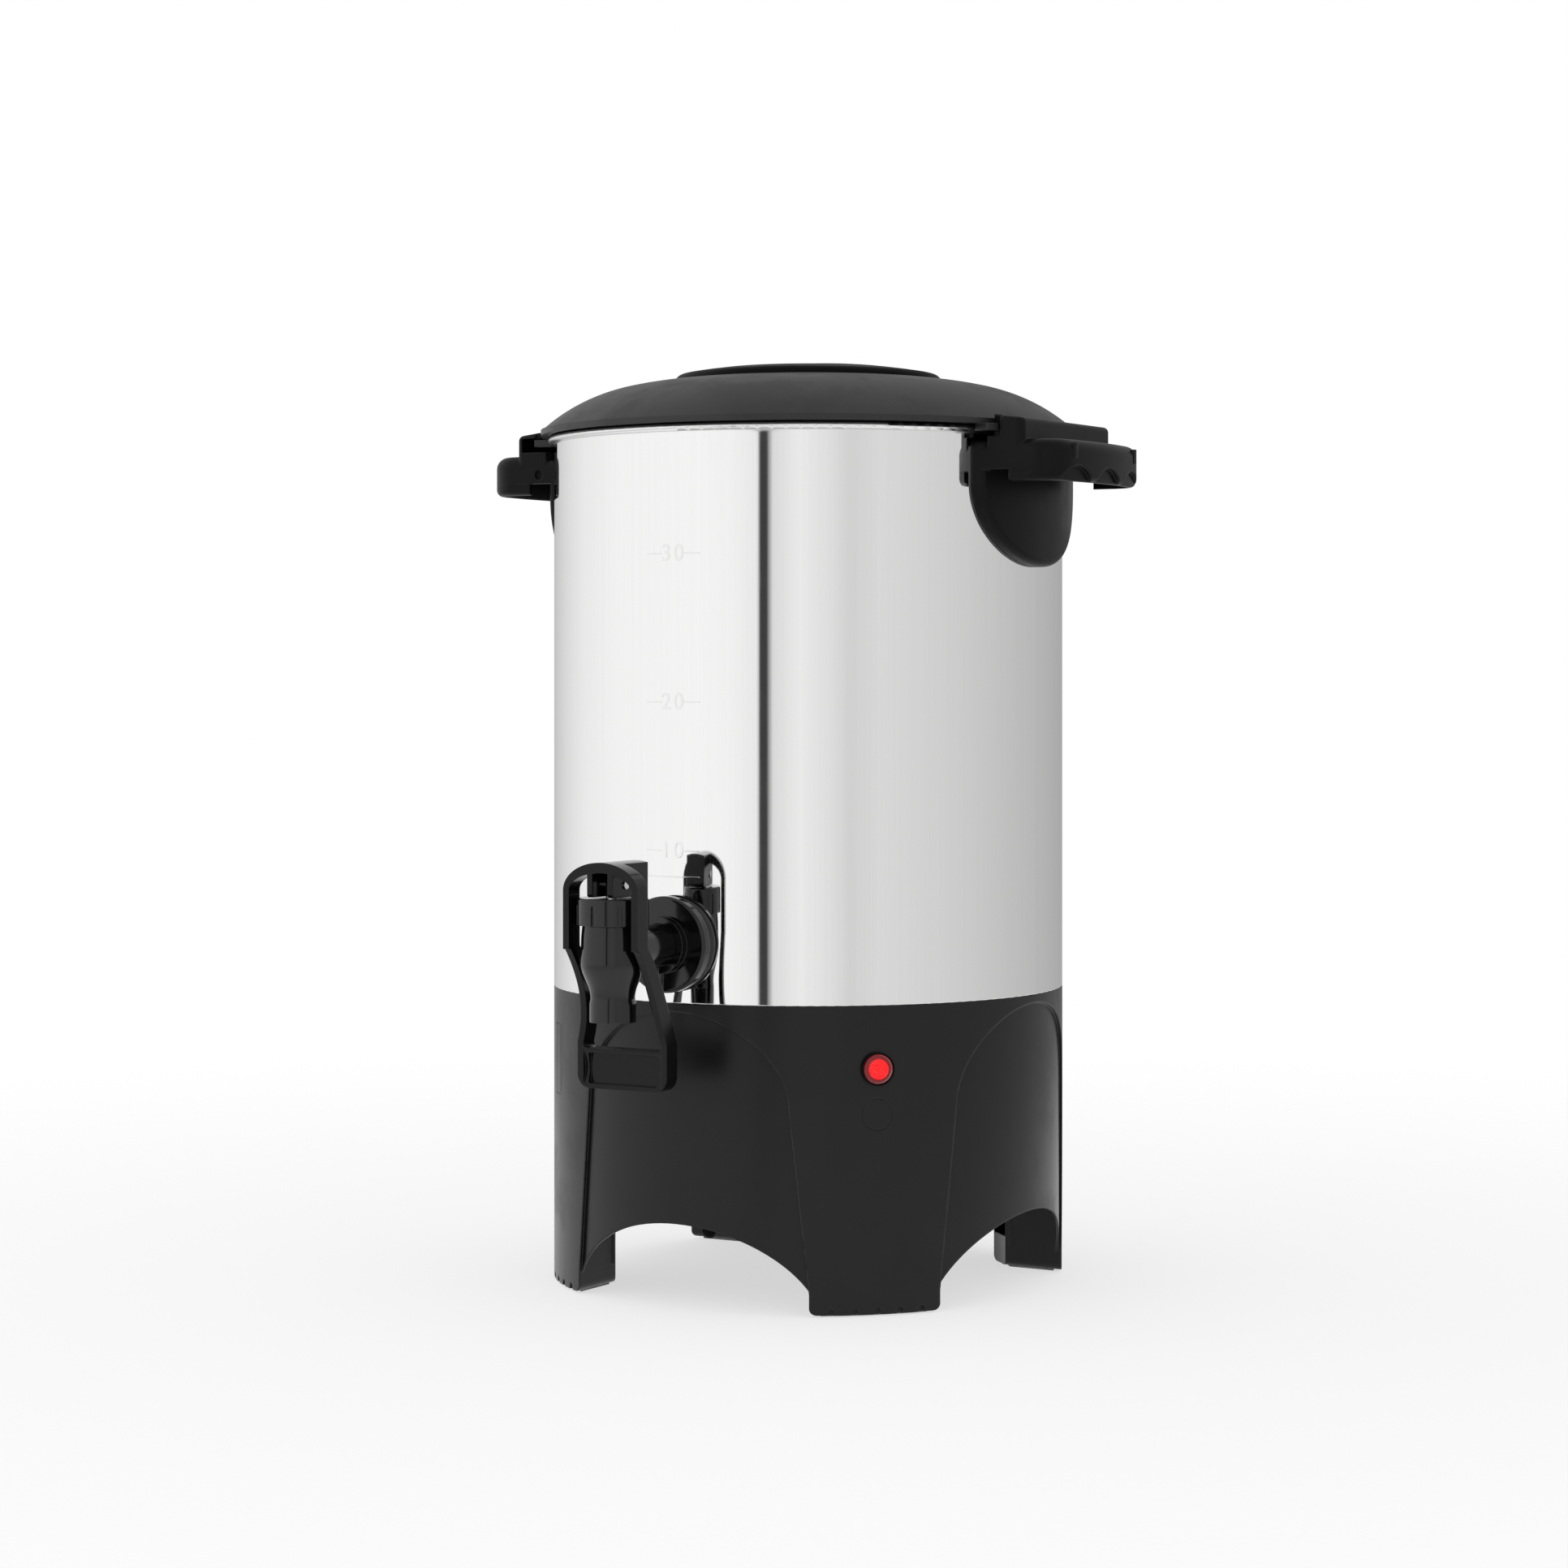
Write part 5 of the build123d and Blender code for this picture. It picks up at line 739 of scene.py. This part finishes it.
def turned_mesh(name: str, profile: list[tuple[float, float]], segments: int) -> bpy.types.Mesh:
    """Turn a profile about the Z axis, from its first point to its last, both on the axis.

    Args:
        name: The mesh's name.
        profile: Radius and height of each point.
        segments: Number of steps round.

    Returns:
        A closed mesh.
    """
    points, faces, rings = [], [], []
    for radius, height in profile:
        count = segments if radius > 0 else 1
        rings.append(range(len(points), len(points) + count))
        for step in range(count):
            angle = 2 * math.pi * step / segments
            points.append((radius * math.cos(angle), radius * math.sin(angle), height))
    for low, high in zip(rings, rings[1:]):
        for step in range(segments):
            after = (step + 1) % segments
            places = ((low, step), (low, after), (high, after), (high, step))
            corners = [ring[place % len(ring)] for ring, place in places]
            faces.append(list(dict.fromkeys(corners)))
    mesh = bpy.data.meshes.new(name)
    mesh.from_pydata(points, [], faces)
    mesh.polygons.foreach_set("use_smooth", [True] * len(faces))
    return mesh


def facing(bearing: float, radius: float, height: float) -> Matrix:
    """Placement that turns local Z to a bearing, with local Y up, at a radius and height."""
    return Matrix.Rotation(math.radians(bearing), 4, "Z") @ Matrix.Translation((0.0, -radius, height)) @ (
        Matrix.Rotation(math.radians(90.0), 4, "X"))


# ---------------------------------------------------------------- sub-assemblies
@dataclass
class Assembly:
    """A group of CAD nodes with their finishes, and the pieces made on top of them."""

    NODES = dict[str, str]()

    def nodes(self) -> dict[str, str]:
        """The group's CAD nodes, each with the name of its finish."""
        return self.NODES

    def make(self, finishes: Finishes) -> list[bpy.types.Object]:
        """Make the group's own pieces, of which a plain group has none.

        Args:
            finishes: The urn's finishes.

        Returns:
            The pieces.
        """
        return []

    def build(self, frame: dict[str, Any], finishes: Finishes) -> None:
        """Dress the group's nodes and make its pieces.

        Args:
            frame: The loaded frame.
            finishes: The urn's finishes.
        """
        finishes.dress(frame, self.nodes())
        for piece in self.make(finishes):
            LOG.info("built %s with %d faces", piece.name, len(piece.data.polygons))


@dataclass
class Vessel(Assembly):
    """Steel vessel with level marks raised on its wall above the tap."""

    NODES = dict.fromkeys(("vessel_shell", "vessel_floor"), "polished_steel")
    SUNK = 0.4              # share of the marks' relief that lies in the wall

    radius: float = 0.095
    levels: dict[str, float] = field(default_factory=lambda: {"30": 0.2669, "20": 0.2145, "10": 0.1622})
    lowest_level: float = 0.153
    digit_size: float = 0.0083
    spacing: float = 1.25
    dash_start: float = 0.0047
    mark_width: float = 0.0218
    stroke: float = 0.00045
    relief: float = 0.00016

    def make_mark_tree(self) -> bpy.types.NodeTree:
        """Tree that adds one level mark: a number between two dashes, wrapped on the wall.

        Returns:
            The geometry node tree.
        """
        graph, value, result = make_shape_tree(
            "level_mark", "Height", "Size", "Spacing", "Radius", "Width", "Gap", "Stroke", "Relief",
            Text=SocketKind.TEXT)
        text = graph.add("GeometryNodeStringToCurves", {
            "String": value["Text"], "Size": value["Size"], "Character Spacing": value["Spacing"],
        }, align_x="CENTER", align_y="MIDDLE")
        real = graph.add("GeometryNodeRealizeInstances", {0: text.outputs[0]})
        flat = graph.add("GeometryNodeFillCurve", {0: real.outputs[0]})
        shape = graph.add("GeometryNodeJoinGeometry", {0: flat.outputs[0]})
        dash = graph.math("SUBTRACT", graph.times(value["Width"], 0.5), value["Gap"])
        bar = graph.add("GeometryNodeMeshGrid", {
            "Size X": dash, "Size Y": value["Stroke"], "Vertices X": 9, "Vertices Y": 2})
        middle = graph.math("ADD", value["Gap"], graph.times(dash, 0.5))
        for side in (-1.0, 1.0):
            place = graph.joined(graph.times(middle, side))
            moved = graph.add("GeometryNodeTransform", {0: bar.outputs[0], "Translation": place})
            graph.feed(shape.inputs[0], moved.outputs[0])
        raised = graph.add("GeometryNodeExtrudeMesh", {
            0: shape.outputs[0], "Offset Scale": value["Relief"], "Individual": False}, mode="FACES")
        back = graph.add("GeometryNodeFlipFaces", {0: shape.outputs[0]})
        closed = graph.add("GeometryNodeJoinGeometry", {0: raised.outputs[0]})
        graph.feed(closed.inputs[0], back.outputs[0])
        merged = graph.add("GeometryNodeMergeByDistance", {0: closed.outputs[0], "Distance": 1e-6})
        part = graph.split(graph.add("GeometryNodeInputPosition").outputs[0])
        angle = graph.math("DIVIDE", part["X"], value["Radius"])
        sunk = graph.math("SUBTRACT", graph.math("ADD", value["Radius"], part["Z"]),
                          graph.times(value["Relief"], self.SUNK))
        wrapped = graph.joined(
            graph.times(sunk, graph.math("SINE", angle)),
            graph.times(graph.times(sunk, graph.math("COSINE", angle)), -1.0),
            graph.math("ADD", part["Y"], value["Height"]))
        placed = graph.add("GeometryNodeSetPosition", {0: merged.outputs[0], "Position": wrapped})
        every = graph.add("GeometryNodeJoinGeometry", {0: value["Geometry"]})
        graph.feed(every.inputs[0], graph.dressed(placed.outputs[0], value["Material"]))
        graph.feed(result, every.outputs[0])
        return graph.tree

    def make(self, finishes: Finishes) -> list[bpy.types.Object]:
        """Raise the level marks on the wall.

        Args:
            finishes: The urn's finishes.

        Returns:
            The pieces.
        """
        tree = self.make_mark_tree()
        marks = link("level_marks", bpy.data.meshes.new("level_marks"))
        common = {
            "Size": self.digit_size, "Spacing": self.spacing, "Radius": self.radius, "Width": self.mark_width,
            "Stroke": self.stroke, "Relief": self.relief, "Material": finishes["stamped_steel"],
        }
        for text, height in self.levels.items():
            give_recipe(marks, tree, {**common, "Text": text, "Height": height, "Gap": self.dash_start})
        give_recipe(marks, tree, {**common, "Text": "", "Height": self.lowest_level, "Gap": 0.0})
        marks = settle(marks)
        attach(marks, "root")
        return [marks]


@dataclass
class Lamp(Assembly):
    """Indicator lamp in the skirt, with a lens of small prisms in a plain rim."""

    NODES = {"indicator_lamp_body": "cap_black", "indicator_neon": "lamp_glass",
             "indicator_retainer": "plated_steel"}
    SEAT, FACE = 0.3, 0.82  # back and face of the lens, as shares of the depth
    CUP = ((0.0, 0.27), (1.02, 0.27), (1.04, 0.9))      # shares of the core and the depth
    RIM = ((0.8, 0.84), (0.9, 0.72), (0.96, 0.56), (0.985, 0.42), (0.985, 0.0))  # of radius and depth
    WITHIN = 0.995          # share of the core that the prisms cover
    RINGS, LENS_STEPS, RIM_STEPS = 60, 240, 96      # rings of the face, steps round

    bearing: float = 45.0
    seat_radius: float = 0.0955
    radius: float = 0.00535
    core: float = 0.0036
    depth: float = 0.0021
    pitch: float = 0.00052
    prism: float = 0.00022

    def make_prism_tree(self) -> bpy.types.NodeTree:
        """Tree that raises crossed rows of prisms on the middle of the lens's face.

        Returns:
            The geometry node tree.
        """
        graph, value, result = make_shape_tree("lens_prisms", "Core", "Pitch", "Prism")
        position = graph.add("GeometryNodeInputPosition").outputs[0]
        part = graph.split(position)
        rows = []
        for operation in ("ADD", "SUBTRACT"):
            across = graph.math(operation, part["X"], part["Y"])
            across = graph.math("DIVIDE", across, graph.times(value["Pitch"], math.sqrt(2)))
            rows.append(graph.times(graph.math("PINGPONG", across, 0.5), 2.0))
        peak = graph.times(graph.math("MINIMUM", *rows), value["Prism"])
        inside = graph.math("LESS_THAN", graph.from_axis(position), value["Core"])
        front = graph.math("GREATER_THAN", part["Z"], value["Pitch"])
        offset = graph.joined(z=graph.times(peak, graph.times(inside, front)))
        raised = graph.add("GeometryNodeSetPosition", {0: value["Geometry"], "Offset": offset})
        graph.feed(result, graph.dressed(raised.outputs[0], value["Material"]))
        return graph.tree

    def make(self, finishes: Finishes) -> list[bpy.types.Object]:
        """Build the lens and its rim in place of the plain lens.

        Args:
            finishes: The urn's finishes.

        Returns:
            The pieces.
        """
        low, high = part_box("indicator_lens")
        height = (low[2] + high[2]) / 2
        seat, top = self.depth * self.SEAT, self.depth * self.FACE
        profile = [(self.core * step / self.RINGS, top) for step in range(self.RINGS + 1)]
        profile += [(self.core, seat), (0.0, seat)]
        lens = link("lamp_lens", turned_mesh("lamp_lens", profile, self.LENS_STEPS))
        give_recipe(lens, self.make_prism_tree(), {
            "Core": self.core * self.WITHIN, "Pitch": self.pitch, "Prism": self.prism,
            "Material": finishes["red_lens"]})
        lens = settle(lens)
        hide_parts("indicator_lens")
        cup = [(self.core * out, self.depth * up) for out, up in self.CUP]
        cup += [(self.radius * out, self.depth * up) for out, up in self.RIM] + [(0.0, 0.0)]
        rim = link("lamp_rim", turned_mesh("lamp_rim", cup, self.RIM_STEPS))
        rim.data.materials.append(finishes["red_rim"])
        for piece in (lens, rim):
            piece.data.transform(facing(self.bearing, self.seat_radius, height))
            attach(piece, "root")
        return [lens, rim]


@dataclass
class Screw:
    """Pan-head screw with a cross recess and a rolled thread; its head's seat is at z = 0, its tip above.

    Attributes:
        shank: Radius over the thread.
        length: From the seat to the tip.
        head: Radius of the head.
        head_height: Height of the head.
        pitch: Distance between two turns of the thread.
        thread: Depth of the thread.
        slot: Half of the width of a slot of the recess.
        sunk: Depth of the recess.
    """

    shank: float = 0.002
    length: float = 0.012
    head: float = 0.0036
    head_height: float = 0.002
    pitch: float = 0.0009
    thread: float = 0.0003
    slot: float = 0.00042
    sunk: float = 0.0011

    DOME = ((1.0, 0.0), (1.0, 0.3), (0.95, 0.55), (0.84, 0.76), (0.7, 0.9), (0.56, 0.97))
    TIP = 0.6               # radius of the tip, as a share of the thread's root
    FLAT = 0.5              # radius of the head's flat top, as a share of the head
    WITHIN = 0.98           # share of the flat top that the recess reaches over
    RINGS, STEPS = 14, 72

    def make_tree(self) -> bpy.types.NodeTree:
        """Tree that presses a cross recess into the head and gives the screw its material.

        Returns:
            The geometry node tree.
        """
        graph, value, result = make_shape_tree("cross_recess", "Slot", "Reach", "Depth")
        position = graph.add("GeometryNodeInputPosition").outputs[0]
        part = graph.split(position)
        nearest = graph.math("MINIMUM", graph.math("ABSOLUTE", part["X"]), graph.math("ABSOLUTE", part["Y"]))
        inside = graph.times(graph.math("LESS_THAN", nearest, value["Slot"]),
                             graph.math("LESS_THAN", graph.from_axis(position), value["Reach"]))
        pressed = graph.times(inside, graph.math("LESS_THAN", part["Z"], 0.0))
        offset = graph.joined(z=graph.times(pressed, value["Depth"]))
        sunk = graph.add("GeometryNodeSetPosition", {0: value["Geometry"], "Offset": offset})
        graph.feed(result, graph.dressed(sunk.outputs[0], value["Material"]))
        return graph.tree

    def build(self, name: str, material: Material) -> bpy.types.Object:
        """Build one screw.

        Args:
            name: The piece's name.
            material: Its material.

        Returns:
            The screw, with its recess still a modifier.
        """
        root, turns = self.shank - self.thread, int((self.length - 2 * self.pitch) / self.pitch)
        profile = [(0.0, self.length), (root * self.TIP, self.length), (root, self.length - self.pitch)]
        for turn in range(turns):
            crest = self.length - (turn + 1.5) * self.pitch
            profile += [(self.shank, crest), (root, crest - self.pitch / 2)]
        profile += [(root, 0.0)] + [(self.head * out, -self.head_height * up) for out, up in self.DOME]
        reach, rings = self.head * self.FLAT, self.RINGS
        profile += [(reach * (rings - step) / rings, -self.head_height) for step in range(rings + 1)]
        screw = link(name, turned_mesh(name, profile, self.STEPS))
        give_recipe(screw, self.make_tree(), {
            "Slot": self.slot, "Reach": reach * self.WITHIN, "Depth": self.sunk, "Material": material})
        return screw


@dataclass
class Base(Assembly):
    """Moulded skirt on four padded feet, with the cover under it."""

    # the foot pads' grey carries painted light, to show them lit in the notches
    NODES = {"base_skirt": "skirt_black", "base_cover": "plain_black", "base_cap_nuts": "cap_black",
             "base_studs": "plated_steel", "foot_pads": "grey_rubber"}


@dataclass
class Lid(Assembly):
    """Domed lid with its round grip and the screw that holds the grip."""

    NODES = {"lid_shell": "lid_black", "lid_grip": "cap_black"}

    seat: float = 0.3155
    screw: Screw = field(default_factory=lambda: Screw(length=0.0146, head=0.0042, head_height=0.0024))

    def make(self, finishes: Finishes) -> list[bpy.types.Object]:
        """Build the screw under the grip.

        Args:
            finishes: The urn's finishes.

        Returns:
            The pieces.
        """
        screw = settle(self.screw.build("grip_screw", finishes["plated_steel"]))
        screw.data.transform(Matrix.Translation((0.0, 0.0, self.seat)))
        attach(screw, "lid_carrier")
        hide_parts("lid_grip_screw")
        return [screw]


@dataclass
class Handle(Assembly):
    """Side handle with the two screws that hold it from inside the vessel."""

    NODES = {"handle": "handle_black", "handle_washers": "silicone"}

    side: str = "right"
    bearing: float = 90.0
    spread: float = 9.5
    seat: float = 0.093
    height: float = 0.3005
    screw: Screw = field(default_factory=Screw)

    def nodes(self) -> dict[str, str]:
        """The nodes of this side, each with the name of its finish."""
        return {f"{self.side}_{name}": finish for name, finish in self.NODES.items()}

    def make_tree(self) -> bpy.types.NodeTree:
        """Tree that sets a pair of screws either side of a bearing, their heads towards the axis.

        Returns:
            The geometry node tree.
        """
        graph, value, result = make_shape_tree(
            f"{self.side}_screw_pair", "Radius", "Height", "Bearing", "Spread")
        seat = graph.joined(y=graph.times(value["Radius"], -1.0), z=value["Height"])
        laid = graph.add("GeometryNodeTransform", {
            0: value["Geometry"], "Translation": seat, "Rotation": (math.pi / 2, 0.0, 0.0)})
        both = graph.add("GeometryNodeJoinGeometry")
        for operation in ("ADD", "SUBTRACT"):
            angle = graph.math("RADIANS", graph.math(operation, value["Bearing"], value["Spread"]))
            turn = graph.joined(z=angle)
            placed = graph.add("GeometryNodeTransform", {0: laid.outputs[0], "Rotation": turn})
            graph.feed(both.inputs[0], placed.outputs[0])
        graph.feed(result, graph.dressed(both.outputs[0], value["Material"]))
        return graph.tree

    def make(self, finishes: Finishes) -> list[bpy.types.Object]:
        """Build the handle's two screws.

        Args:
            finishes: The urn's finishes.

        Returns:
            The pieces.
        """
        steel = finishes["plated_steel"]
        screws = self.screw.build(f"{self.side}_screws", steel)
        give_recipe(screws, self.make_tree(), {
            "Radius": self.seat, "Height": self.height, "Bearing": self.bearing, "Spread": self.spread,
            "Material": steel})
        screws = settle(screws)
        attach(screws, "root")
        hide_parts(f"{self.side}_handle_screws")
        return [screws]


@dataclass
class Tap(Assembly):
    """Push-back tap with its flange, gaskets, stem, spring and lever."""

    NODES = {"tap_body": "tap_body_black", "tap_flange": "flange_black", "tap_bonnet": "tap_black",
             "tap_lever": "lever_black", "tap_nut": "plain_black", "tap_lever_pin": "plated_steel",
             "tap_stem": "plated_steel", "tap_outer_gasket": "black_rubber", "tap_o_ring": "black_rubber",
             "tap_inner_gasket": "silicone", "tap_seat_cup": "silicone"}
    TURN_STEPS, WIRE_STEPS = 40, 12     # steps to one turn, and round the wire

    spring_wire: float = 0.00045
    spring_turns: int = 5
    stem_lift: float = 0.002

    def make_spring_tree(self) -> bpy.types.NodeTree:
        """Tree that winds a wire into a coil spring from z = 0 up.

        Returns:
            The geometry node tree.
        """
        graph, value, result = make_shape_tree("coil_spring", "Radius", "Wire", "Turns", "Height")
        path = graph.add("GeometryNodeCurveSpiral", {
            "Resolution": self.TURN_STEPS, "Rotations": value["Turns"], "Start Radius": value["Radius"],
            "End Radius": value["Radius"], "Height": value["Height"]})
        section = graph.add("GeometryNodeCurvePrimitiveCircle", {
            "Resolution": self.WIRE_STEPS, "Radius": value["Wire"]})
        coil = graph.add("GeometryNodeCurveToMesh", {
            "Curve": path.outputs[0], "Profile Curve": section.outputs[0], "Fill Caps": True})
        graph.feed(result, graph.dressed(coil.outputs[0], value["Material"]))
        return graph.tree

    def make(self, finishes: Finishes) -> list[bpy.types.Object]:
        """Wind the spring.

        Args:
            finishes: The urn's finishes.

        Returns:
            The pieces.
        """
        low, high = (Vector(corner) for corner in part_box("tap_spring"))
        length = high.z - low.z
        middle = (low + high) / 2
        spring = link("return_spring", bpy.data.meshes.new("return_spring"))
        give_recipe(spring, self.make_spring_tree(), {
            "Radius": (high.x - low.x) / 2 - self.spring_wire, "Wire": self.spring_wire,
            "Turns": float(self.spring_turns), "Height": length - 2 * self.spring_wire,
            "Material": finishes["plated_steel"]})
        spring = settle(spring)
        spring.data.transform(Matrix.Translation((middle.x, middle.y, low.z + self.spring_wire)))
        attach(spring, "root")
        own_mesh(spring)
        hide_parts("tap_spring")
        return [spring]


@dataclass
class Brewer(Assembly):
    """Pump tube on its foot, with the coffee basket and its spreader."""

    NODES = dict.fromkeys(("pump_tube", "pump_foot", "coffee_basket", "basket_spreader"), "drawn_aluminium")


@dataclass
class Electrics(Assembly):
    """Heaters, their controls and wires, and the appliance inlet."""

    NODES = {"brew_heater": "cast_aluminium", "warm_heater": "mica", "heater_clamp": "plated_steel",
             "heater_stud": "plated_steel", "heater_nut": "plated_steel", "thermal_fuse": "plated_steel",
             "thermostat": "ceramic", "terminal_block": "ceramic", "mains_wires": "wire_sleeve",
             "heater_wires": "wire_sleeve", "inlet_housing": "plain_black", "inlet_pins": "brass"}


def assemblies() -> list[Assembly]:
    """Every sub-assembly of the urn, in the order that it is built."""
    return [
        Vessel(), Lamp(), Base(), Lid(), Handle(), Handle(side="left", bearing=270.0), Tap(), Brewer(),
        Electrics(),
    ]


# ---------------------------------------------------------------- studio
@dataclass
class Studio:
    """Pale floor and a ring of soft panels around the urn.

    Attributes:
        panels: Bearing from the camera, in degrees, and brightness of the room there.
        ceiling: Brightness overhead.
        ground: Brightness below the horizon.
        facing: Bearing of the camera, in degrees.
        floor_radius: How far the floor reaches before it has faded.
        floor_level: The floor's height, a hair under the feet.
        overhead: Upward part of a direction where the ceiling starts and where it is full.
        underfoot: The same for the ground.
        floor_tones: Darkest and lightest grey of the floor.
        floor_glow: Brightness that lifts the floor to white where it is seen.
        fade_start: Distance from the urn's axis where the floor starts to fade.
    """

    panels: tuple[tuple[float, float], ...] = (
        (-180, 0.45), (-150, 0.68), (-135, 0.80), (-120, 0.90), (-95, 0.98), (-50, 1.0), (-34, 0.97),
        (-22.4, 0.89), (-21.9, 0.05), (-17.2, 0.05), (-16.6, 0.76), (-4, 0.91), (10, 0.80), (18, 0.70),
        (32, 0.755), (65, 0.68), (105, 0.565), (160, 0.42), (180, 0.45),
    )
    ceiling: float = 0.60
    ground: float = 0.55
    facing: float = 30.3
    floor_radius: float = 0.9
    floor_level: float = -0.0001
    overhead: tuple[float, float] = (0.45, 0.9)
    underfoot: tuple[float, float] = (-0.12, -0.35)
    floor_tones: tuple[float, float] = (0.49, 0.52)
    floor_glow: float = 0.62
    fade_start: float = 0.22

    FLOOR_GRAIN = 400.0     # specks to the metre
    FLOOR_RINGS, FLOOR_STEPS = 8, 96
    FADED = 0.95            # share of the floor's radius where it has faded

    def build_world(self) -> None:
        """Light the room from the panels, and show white behind the urn."""
        world = bpy.data.worlds.new("studio")
        bpy.context.scene.world = world
        world.use_nodes = True
        graph = Graph(world.node_tree)
        world.node_tree.nodes.clear()
        direction = graph.add("ShaderNodeTexCoord").outputs["Generated"]
        turned = graph.add("ShaderNodeVectorRotate", {
            "Vector": direction, "Angle": -math.radians(self.facing)}, rotation_type="Z_AXIS").outputs[0]
        part = graph.split(turned)
        bearing = graph.math("ARCTAN2", part["X"], graph.times(part["Y"], -1.0))
        along = graph.math("ADD", graph.math("DIVIDE", bearing, 2 * math.pi), 0.5)
        ramp = graph.add("ShaderNodeValToRGB", {0: along})
        stops = ramp.color_ramp.elements
        while len(stops) > 1:
            stops.remove(stops[-1])
        for number, (angle, level) in enumerate(self.panels):
            place = (angle + 180) / 360
            stop = stops[0] if number == 0 else stops.new(place)
            stop.position = place
            stop.color = grey(level)
        overhead = graph.ramped(part["Z"], *self.overhead)
        below = graph.ramped(part["Z"], *self.underfoot)
        room = graph.mixed(overhead, ramp.outputs[0], grey(self.ceiling))
        room = graph.mixed(below, room, grey(self.ground))
        seen = graph.add("ShaderNodeLightPath").outputs["Is Camera Ray"]
        colour = graph.mixed(seen, room, grey(1.0))
        background = graph.add("ShaderNodeBackground", {"Color": colour, "Strength": 1.0})
        output = graph.add("ShaderNodeOutputWorld")
        graph.feed(output.inputs[0], background.outputs[0])

    def build_floor(self) -> None:
        """Lay a white floor that keeps the urn's shadow and fades into the room."""
        rings = self.FLOOR_RINGS
        profile = [(self.floor_radius * step / rings, self.floor_level) for step in range(rings + 1)]
        mesh = turned_mesh("floor", profile, self.FLOOR_STEPS)
        mesh.flip_normals()
        floor = link("floor", mesh)
        material = bpy.data.materials.new("floor_white")
        material.use_nodes = True
        graph = Graph(material.node_tree)
        material.node_tree.nodes.clear()
        position = graph.add("ShaderNodeTexCoord").outputs["Object"]
        away = graph.vector("LENGTH", position)
        grain = graph.noise(position, self.FLOOR_GRAIN)
        tone = graph.mixed(grain, *(grey(level) for level in self.floor_tones))
        diffuse = graph.add("ShaderNodeBsdfDiffuse", {"Color": tone})
        path = graph.add("ShaderNodeLightPath")
        seen = graph.math("MAXIMUM", path.outputs["Is Camera Ray"], path.outputs["Is Glossy Ray"])
        lift = graph.add("ShaderNodeEmission", {"Strength": graph.times(seen, self.floor_glow)})
        lit = graph.add("ShaderNodeAddShader", {0: diffuse.outputs[0], 1: lift.outputs[0]})
        clear = graph.add("ShaderNodeBsdfTransparent")
        fade = graph.ramped(away, self.fade_start, self.floor_radius * self.FADED)
        mixed = graph.add("ShaderNodeMixShader", {0: fade, 1: lit.outputs[0], 2: clear.outputs[0]})
        graph.feed(graph.add("ShaderNodeOutputMaterial").inputs[0], mixed.outputs[0])
        mesh.materials.append(material)

    def build(self) -> None:
        """Build the room and the floor."""
        scene = bpy.context.scene
        scene.view_settings.view_transform = "Standard"
        self.build_world()
        self.build_floor()
        LOG.info("built the studio with %d panels", len(self.panels))


@dataclass
class View:
    """Level camera at two thirds of the urn's height, to the right of the tap."""

    bearing: float = 30.3
    distance: float = 1.360
    height: float = 0.2257
    lens: float = 83.3
    sensor: float = 36.0
    shift: tuple[float, float] = (-0.0155, -0.0725)

    def build(self) -> None:
        """Create the camera and make it the scene's camera."""
        angle = math.radians(self.bearing)
        data = bpy.data.cameras.new("view")
        data.lens = self.lens
        data.sensor_width = self.sensor
        data.shift_x, data.shift_y = self.shift
        camera = bpy.data.objects.new("view", data)
        camera.location = (self.distance * math.sin(angle), -self.distance * math.cos(angle), self.height)
        camera.rotation_euler = (math.radians(90.0), 0.0, angle)
        bpy.context.scene.collection.objects.link(camera)
        bpy.context.scene.camera = camera
        LOG.info("placed the camera")


def main() -> None:
    """Load the frame, build the studio and every sub-assembly."""
    logging.basicConfig(level=logging.INFO, format="%(name)s: %(message)s")
    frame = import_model()
    View().build()
    Studio().build()
    finishes = Finishes()
    for assembly in assemblies():
        assembly.build(frame, finishes)


if __name__ == "__main__":
    main()
